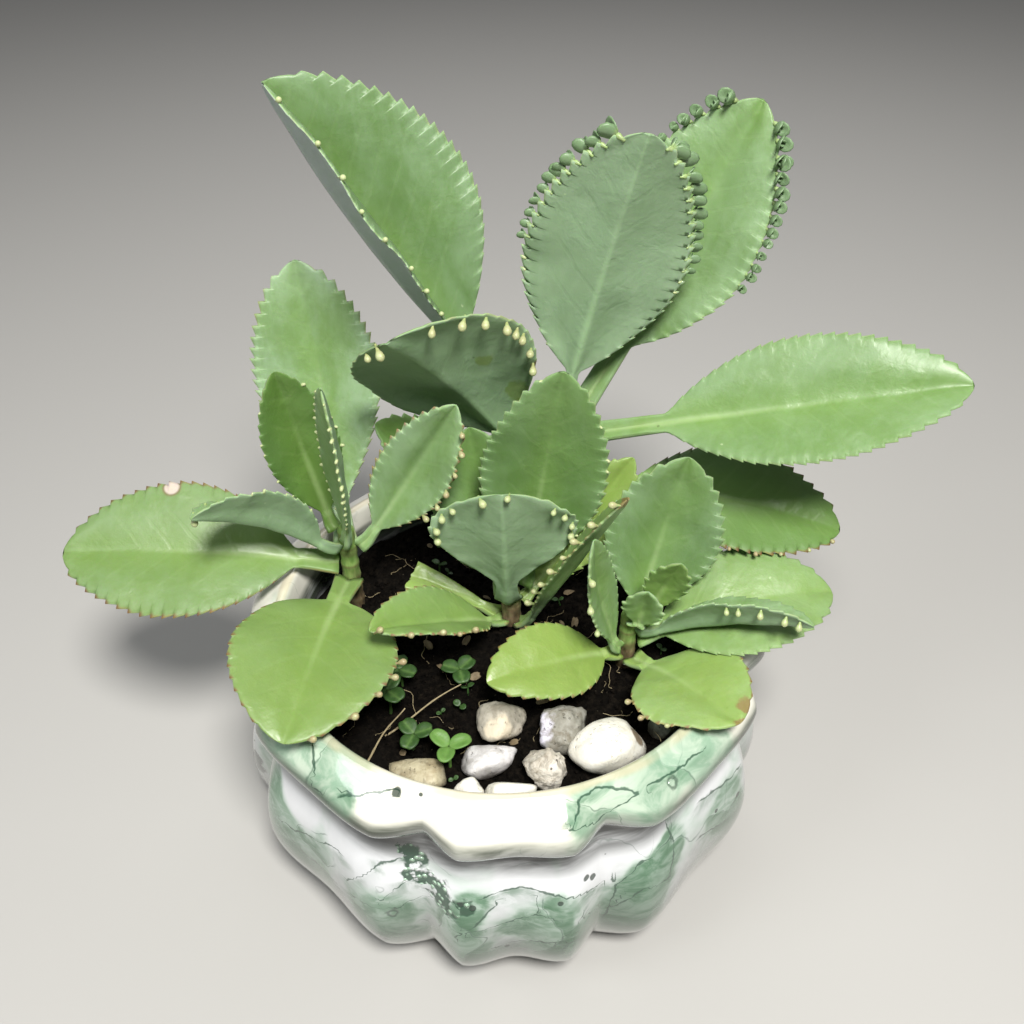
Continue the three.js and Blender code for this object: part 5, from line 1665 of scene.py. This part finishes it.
def make_pebble(name, place, size, turn, rough, finish, index):
    hardness, crust = STONE_FORMS[finish]
    work = bmesh.new()
    bmesh.ops.create_icosphere(work, subdivisions=4, radius=1.0)
    shift = Vector((index * 3.7, index * 1.9, 5.0))
    stone_points(work, random.Random(PEBBLE_SEED + index), hardness, crust + rough, shift)
    spans = [[v.co[axis] for v in work.verts] for axis in range(3)]
    widths = [max(span) - min(span) for span in spans]
    turning = Matrix.Rotation(math.radians(turn), 3, "Z")
    for vertex in work.verts:
        point = Vector([vertex.co[axis] * size[axis] / widths[axis] for axis in range(3)])
        vertex.co = (turning @ point + Vector(place)) * MM
    mesh = bpy.data.meshes.new(f"{name}_stone")
    work.to_mesh(mesh)
    work.free()
    mesh.polygons.foreach_set("use_smooth", [True] * len(mesh.polygons))
    mesh.materials.append(STONES[finish])
    settle(linked(f"{name}_stone", mesh), "pebble", name)


for number, (pebble_name, pebble) in enumerate(PEBBLES.items()):
    make_pebble(pebble_name, *pebble, number)


# Soil


def soil_noise(x, y, scale, layer):
    return noise.noise(Vector((x * scale, y * scale, layer)))


def soil_height(x, y):
    """The solid's own waves, with clods and crumbs on them."""
    wave = 1.2 * math.sin(x * 0.11 + 1) * math.cos(y * 0.13) + 0.6 * math.sin(x * 0.31 + y * 0.23)
    clods = 1.1 * soil_noise(x, y, 0.16, 2.0) + 0.6 * soil_noise(x, y, 0.45, 7.0)
    return SOIL_LEVEL + wave + clods + 0.3 * soil_noise(x, y, 1.2, 4.0)


def make_soil():
    columns, rings = 200, 62
    points, rows = [Vector((0, 0, CAVITY_FLOOR + GAP))], 0
    for z in (CAVITY_FLOOR + GAP, 40, 60, SOIL_LEVEL - 3):
        points += [on_circle(inside_radius(z) - 1, TAU * k / columns, z) for k in range(columns)]
        rows += 1
    for i in range(rings):
        radius = lerp(inside_radius(SOIL_LEVEL) - 0.6, 1.5, i / (rings - 1))
        for k in range(columns):
            place = on_circle(radius, TAU * k / columns)
            place.z = soil_height(place.x, place.y) - 1.2 * smooth_step(0.985, 1.0, radius / 75)
            points.append(place)
        rows += 1
    points.append(Vector((0, 0, soil_height(0, 0))))
    piece = new_piece("soil_bed", points, tube_faces(rows, columns))
    face_outwards(piece)
    piece.data.materials.append(SOIL)
    settle(piece, "soil", "soil")


def soil_patch(name, radius, lift):
    """The open top of the bed, which crumbs and fibres are strewn over."""
    columns, rings = 60, 22
    points = []
    for i in range(rings):
        for k in range(columns):
            place = on_circle(lerp(radius, 2, i / (rings - 1)), TAU * k / columns)
            place.z = soil_height(place.x, place.y) + lift
            points.append(place)
    return new_piece(name, points, tube_faces(rings, columns, poles=False))


CRUMB_SEED = 31


def make_crumb_shape():
    """An uneven ball about 2 mm across."""
    rng = random.Random(CRUMB_SEED)
    work = bmesh.new()
    bmesh.ops.create_icosphere(work, subdivisions=1, radius=1.0)
    for vertex in work.verts:
        vertex.co *= rng.uniform(0.7, 1.25) * MM
        vertex.co.z *= 0.75
    mesh = bpy.data.meshes.new("crumb_shape")
    work.to_mesh(mesh)
    work.free()
    return linked("crumb_shape", mesh)


def make_fibre_shape():
    """A thin root fibre, 14 mm long, in a loose curve."""
    path = [Vector((lerp(-7, 7, i / 12), 1.5 * math.sin(i * 0.45) - 0.4 * math.sin(i * 1.3),
                    0.6 + 0.7 * math.sin(i * 0.5 + 0.6))) for i in range(13)]
    return tube("fibre_shape", path, [0.11] * 13, 4)


def make_scrap_shape():
    """A curled scrap of withered leaf, 6 mm long."""
    points, faces = little_leaf(6, 3.4, 0.5, 0.25, 0.3, Vector((-2, -1, 0)), notch=0.15, sides=12)
    piece = new_piece("scrap_shape", points, faces)
    face_outwards(piece)
    return piece


def make_sprout_shape():
    """A pair of tiny seed leaves on a short stalk."""
    first = little_leaf(2.6, 2.2, 0.4, 0.25, 0.0, Vector((0, 0, 2.6)), sides=10)
    second = little_leaf(2.5, 2.1, 0.4, 0.3, math.pi, Vector((0, 0, 2.6)), sides=10)
    stalk = turned_shape("stalk", [(0.3, -1.0), (0.28, 2.6)], 6, 0, 1)
    leaves = [new_piece("leaf", *part, {"height": [1.0] * len(part[0])}) for part in (first, second)]
    piece = joined("sprout_shape", [stalk, *leaves])
    face_outwards(piece)
    return piece


def make_litter():
    """What lies on the soil. Each row: piece, radius and lift of the patch, slot and the tree's values."""
    crumb, fibre = make_crumb_shape(), make_fibre_shape()
    scrap, sprout = make_scrap_shape(), make_sprout_shape()
    strewn = [
        ("soil_crumbs", 72, 0.1, "soil", {
            "Piece": crumb, "Density": 190000.0, "Smallest": 0.35, "Largest": 1.35, "Tilt": 3.0,
            "Seed": 5, "Material": SOIL}),
        ("root_fibres", 68, 0.4, "straw", {
            "Piece": fibre, "Density": 5200.0, "Smallest": 0.4, "Largest": 1.2, "Tilt": 0.4,
            "Seed": 12, "Material": DRY_STRAW}),
        ("withered_scraps", 68, 0.8, "straw", {
            "Piece": scrap, "Density": 1700.0, "Smallest": 0.4, "Largest": 1.1, "Tilt": 0.6,
            "Seed": 21, "Material": WITHERED}),
        ("tiny_sprouts", 66, 0.2, "seedling", {
            "Piece": sprout, "Density": 2200.0, "Smallest": 0.6, "Largest": 1.5, "Tilt": 0.35,
            "Seed": 33, "Material": CLOVER_SHADED}),
    ]
    for name, radius, lift, slot_name, values in strewn:
        piece = apply_tree(soil_patch(name, radius, lift), SCATTER, values)
        settle(piece, slot_name)
    remove(crumb, fibre, scrap, sprout)


make_soil()
make_litter()


# Clover and dry grass


CLOVER_RINGS = 11
CLOVER_SIDES = 8
STRAW_RINGS = 17
# Rings where a dry stalk has its knots
STRAW_KNOTS = (5, 11)


def make_seedling(name, place, height, leaflet, turn, roundness, is_lit, index):
    """Three leaflets on a stalk that is rooted in the soil."""
    # Clover in the leaves' shade gets the darker copy: painted shade
    green = CLOVER_LIT if is_lit else CLOVER_SHADED
    foot = Vector((*place, SOIL_LEVEL - 4))
    top = Vector((*place, SOIL_LEVEL + height))
    lean = Vector((math.sin(index * 2.1), math.cos(index * 2.1), 0)) * 0.8
    shares = [i / (CLOVER_RINGS - 1) for i in range(CLOVER_RINGS)]
    path = [foot.lerp(top, share) + lean * math.sin(math.pi * share) for share in shares]
    radii = [0.6 - 0.02 * i for i in range(CLOVER_RINGS)]
    crease = [0.6] * (CLOVER_RINGS * CLOVER_SIDES + 2)
    stalk = tube("stalk", path, radii, CLOVER_SIDES, {"crease": crease})
    stalk.data.materials.append(green)
    parts = [stalk]
    for k in range(3):
        angle = math.radians(turn + 120 * k)
        tilt = 0.14 + 0.12 * math.sin(index + k)
        points, faces = little_leaf(leaflet, leaflet * roundness, 0.9, tilt, angle, top,
                                    notch=0.03 if roundness < 0.8 else 0.1, sides=28)
        axis = Vector((math.cos(angle), math.sin(angle), 0))
        across = Vector((-axis.y, axis.x, 0))
        crease = [math.exp(-(((p - top).dot(across) / 0.5) ** 2)) for p in points]
        blade = new_piece("leaflet", points, faces, {"crease": crease})
        face_outwards(blade)
        blade.data.materials.append(green)
        parts.append(blade)
    piece = joined(f"{name}_clover", parts)
    settle(piece, "seedling", name)


for number, (seedling_name, seedling) in enumerate(SEEDLINGS.items()):
    make_seedling(seedling_name, *seedling, number)


def make_stalk(name, start, stop, index):
    """A dry grass stalk, thinner to its tip, in a slight wave."""
    start, stop = Vector(start), Vector(stop)
    across = (stop - start).cross(UP).normalized()
    path = [start.lerp(stop, i / (STRAW_RINGS - 1)) + across * (0.7 * math.sin(i * 0.4 + index))
            for i in range(STRAW_RINGS)]
    radii = [0.42 - 0.014 * i + (0.08 if i in STRAW_KNOTS else 0) for i in range(STRAW_RINGS)]
    piece = tube(f"{name}_straw", path, radii, 8)
    piece.data.materials.append(DRY_STRAW)
    settle(piece, "straw", name)


for number, (stalk_name, stalk_ends) in enumerate(STALKS.items()):
    make_stalk(stalk_name, *stalk_ends, number)


# Floor and light, in metres and watts

FLOOR_REACH = 4.0
FLOOR_GREY = (0.44, 0.43, 0.41)
# Name, place, what it looks at, width, power and colour
LIGHTS = [
    ("key light", (0.14, -0.48, 1.05), (0, 0, 0.1), 0.30, 19.5, (1.0, 0.985, 0.95)),
    ("left light", (-0.7, -0.35, 0.95), (0, 0, 0.1), 0.5, 3.2, (0.95, 0.98, 1.0)),
    ("back light", (0.1, 0.8, 0.9), (0, 0, 0.15), 0.7, 2.2, (1, 1, 1)),
]
SKY_GREY = (0.82, 0.85, 0.90, 1)
SKY_STRENGTH = 0.12


def make_floor():
    mesh = bpy.data.meshes.new("floor")
    corners = [(x * FLOOR_REACH, y * FLOOR_REACH, 0) for x, y in ((-1, -1), (1, -1), (1, 1), (-1, 1))]
    mesh.from_pydata(corners, [], [(0, 1, 2, 3)])
    floor = linked("floor", mesh)
    material, graph, shader = new_material("plain floor", Roughness=0.6)
    graph.put(shader["Base Color"], FLOOR_GREY)
    mesh.materials.append(material)


def make_light(name, place, aim, size, power, colour):
    data = bpy.data.lights.new(name, "AREA")
    data.shape = "DISK"
    data.size = size
    data.energy = power
    data.color = colour
    lamp = linked(name, data)
    lamp.location = place
    lamp.rotation_euler = (Vector(aim) - Vector(place)).to_track_quat("-Z", "Y").to_euler()


make_floor()
for light in LIGHTS:
    make_light(*light)
world = bpy.data.worlds.new("studio")
world.use_nodes = True
world.node_tree.nodes["Background"].inputs["Color"].default_value = SKY_GREY
world.node_tree.nodes["Background"].inputs["Strength"].default_value = SKY_STRENGTH
bpy.context.scene.world = world
bpy.context.scene.view_settings.view_transform = "Standard"
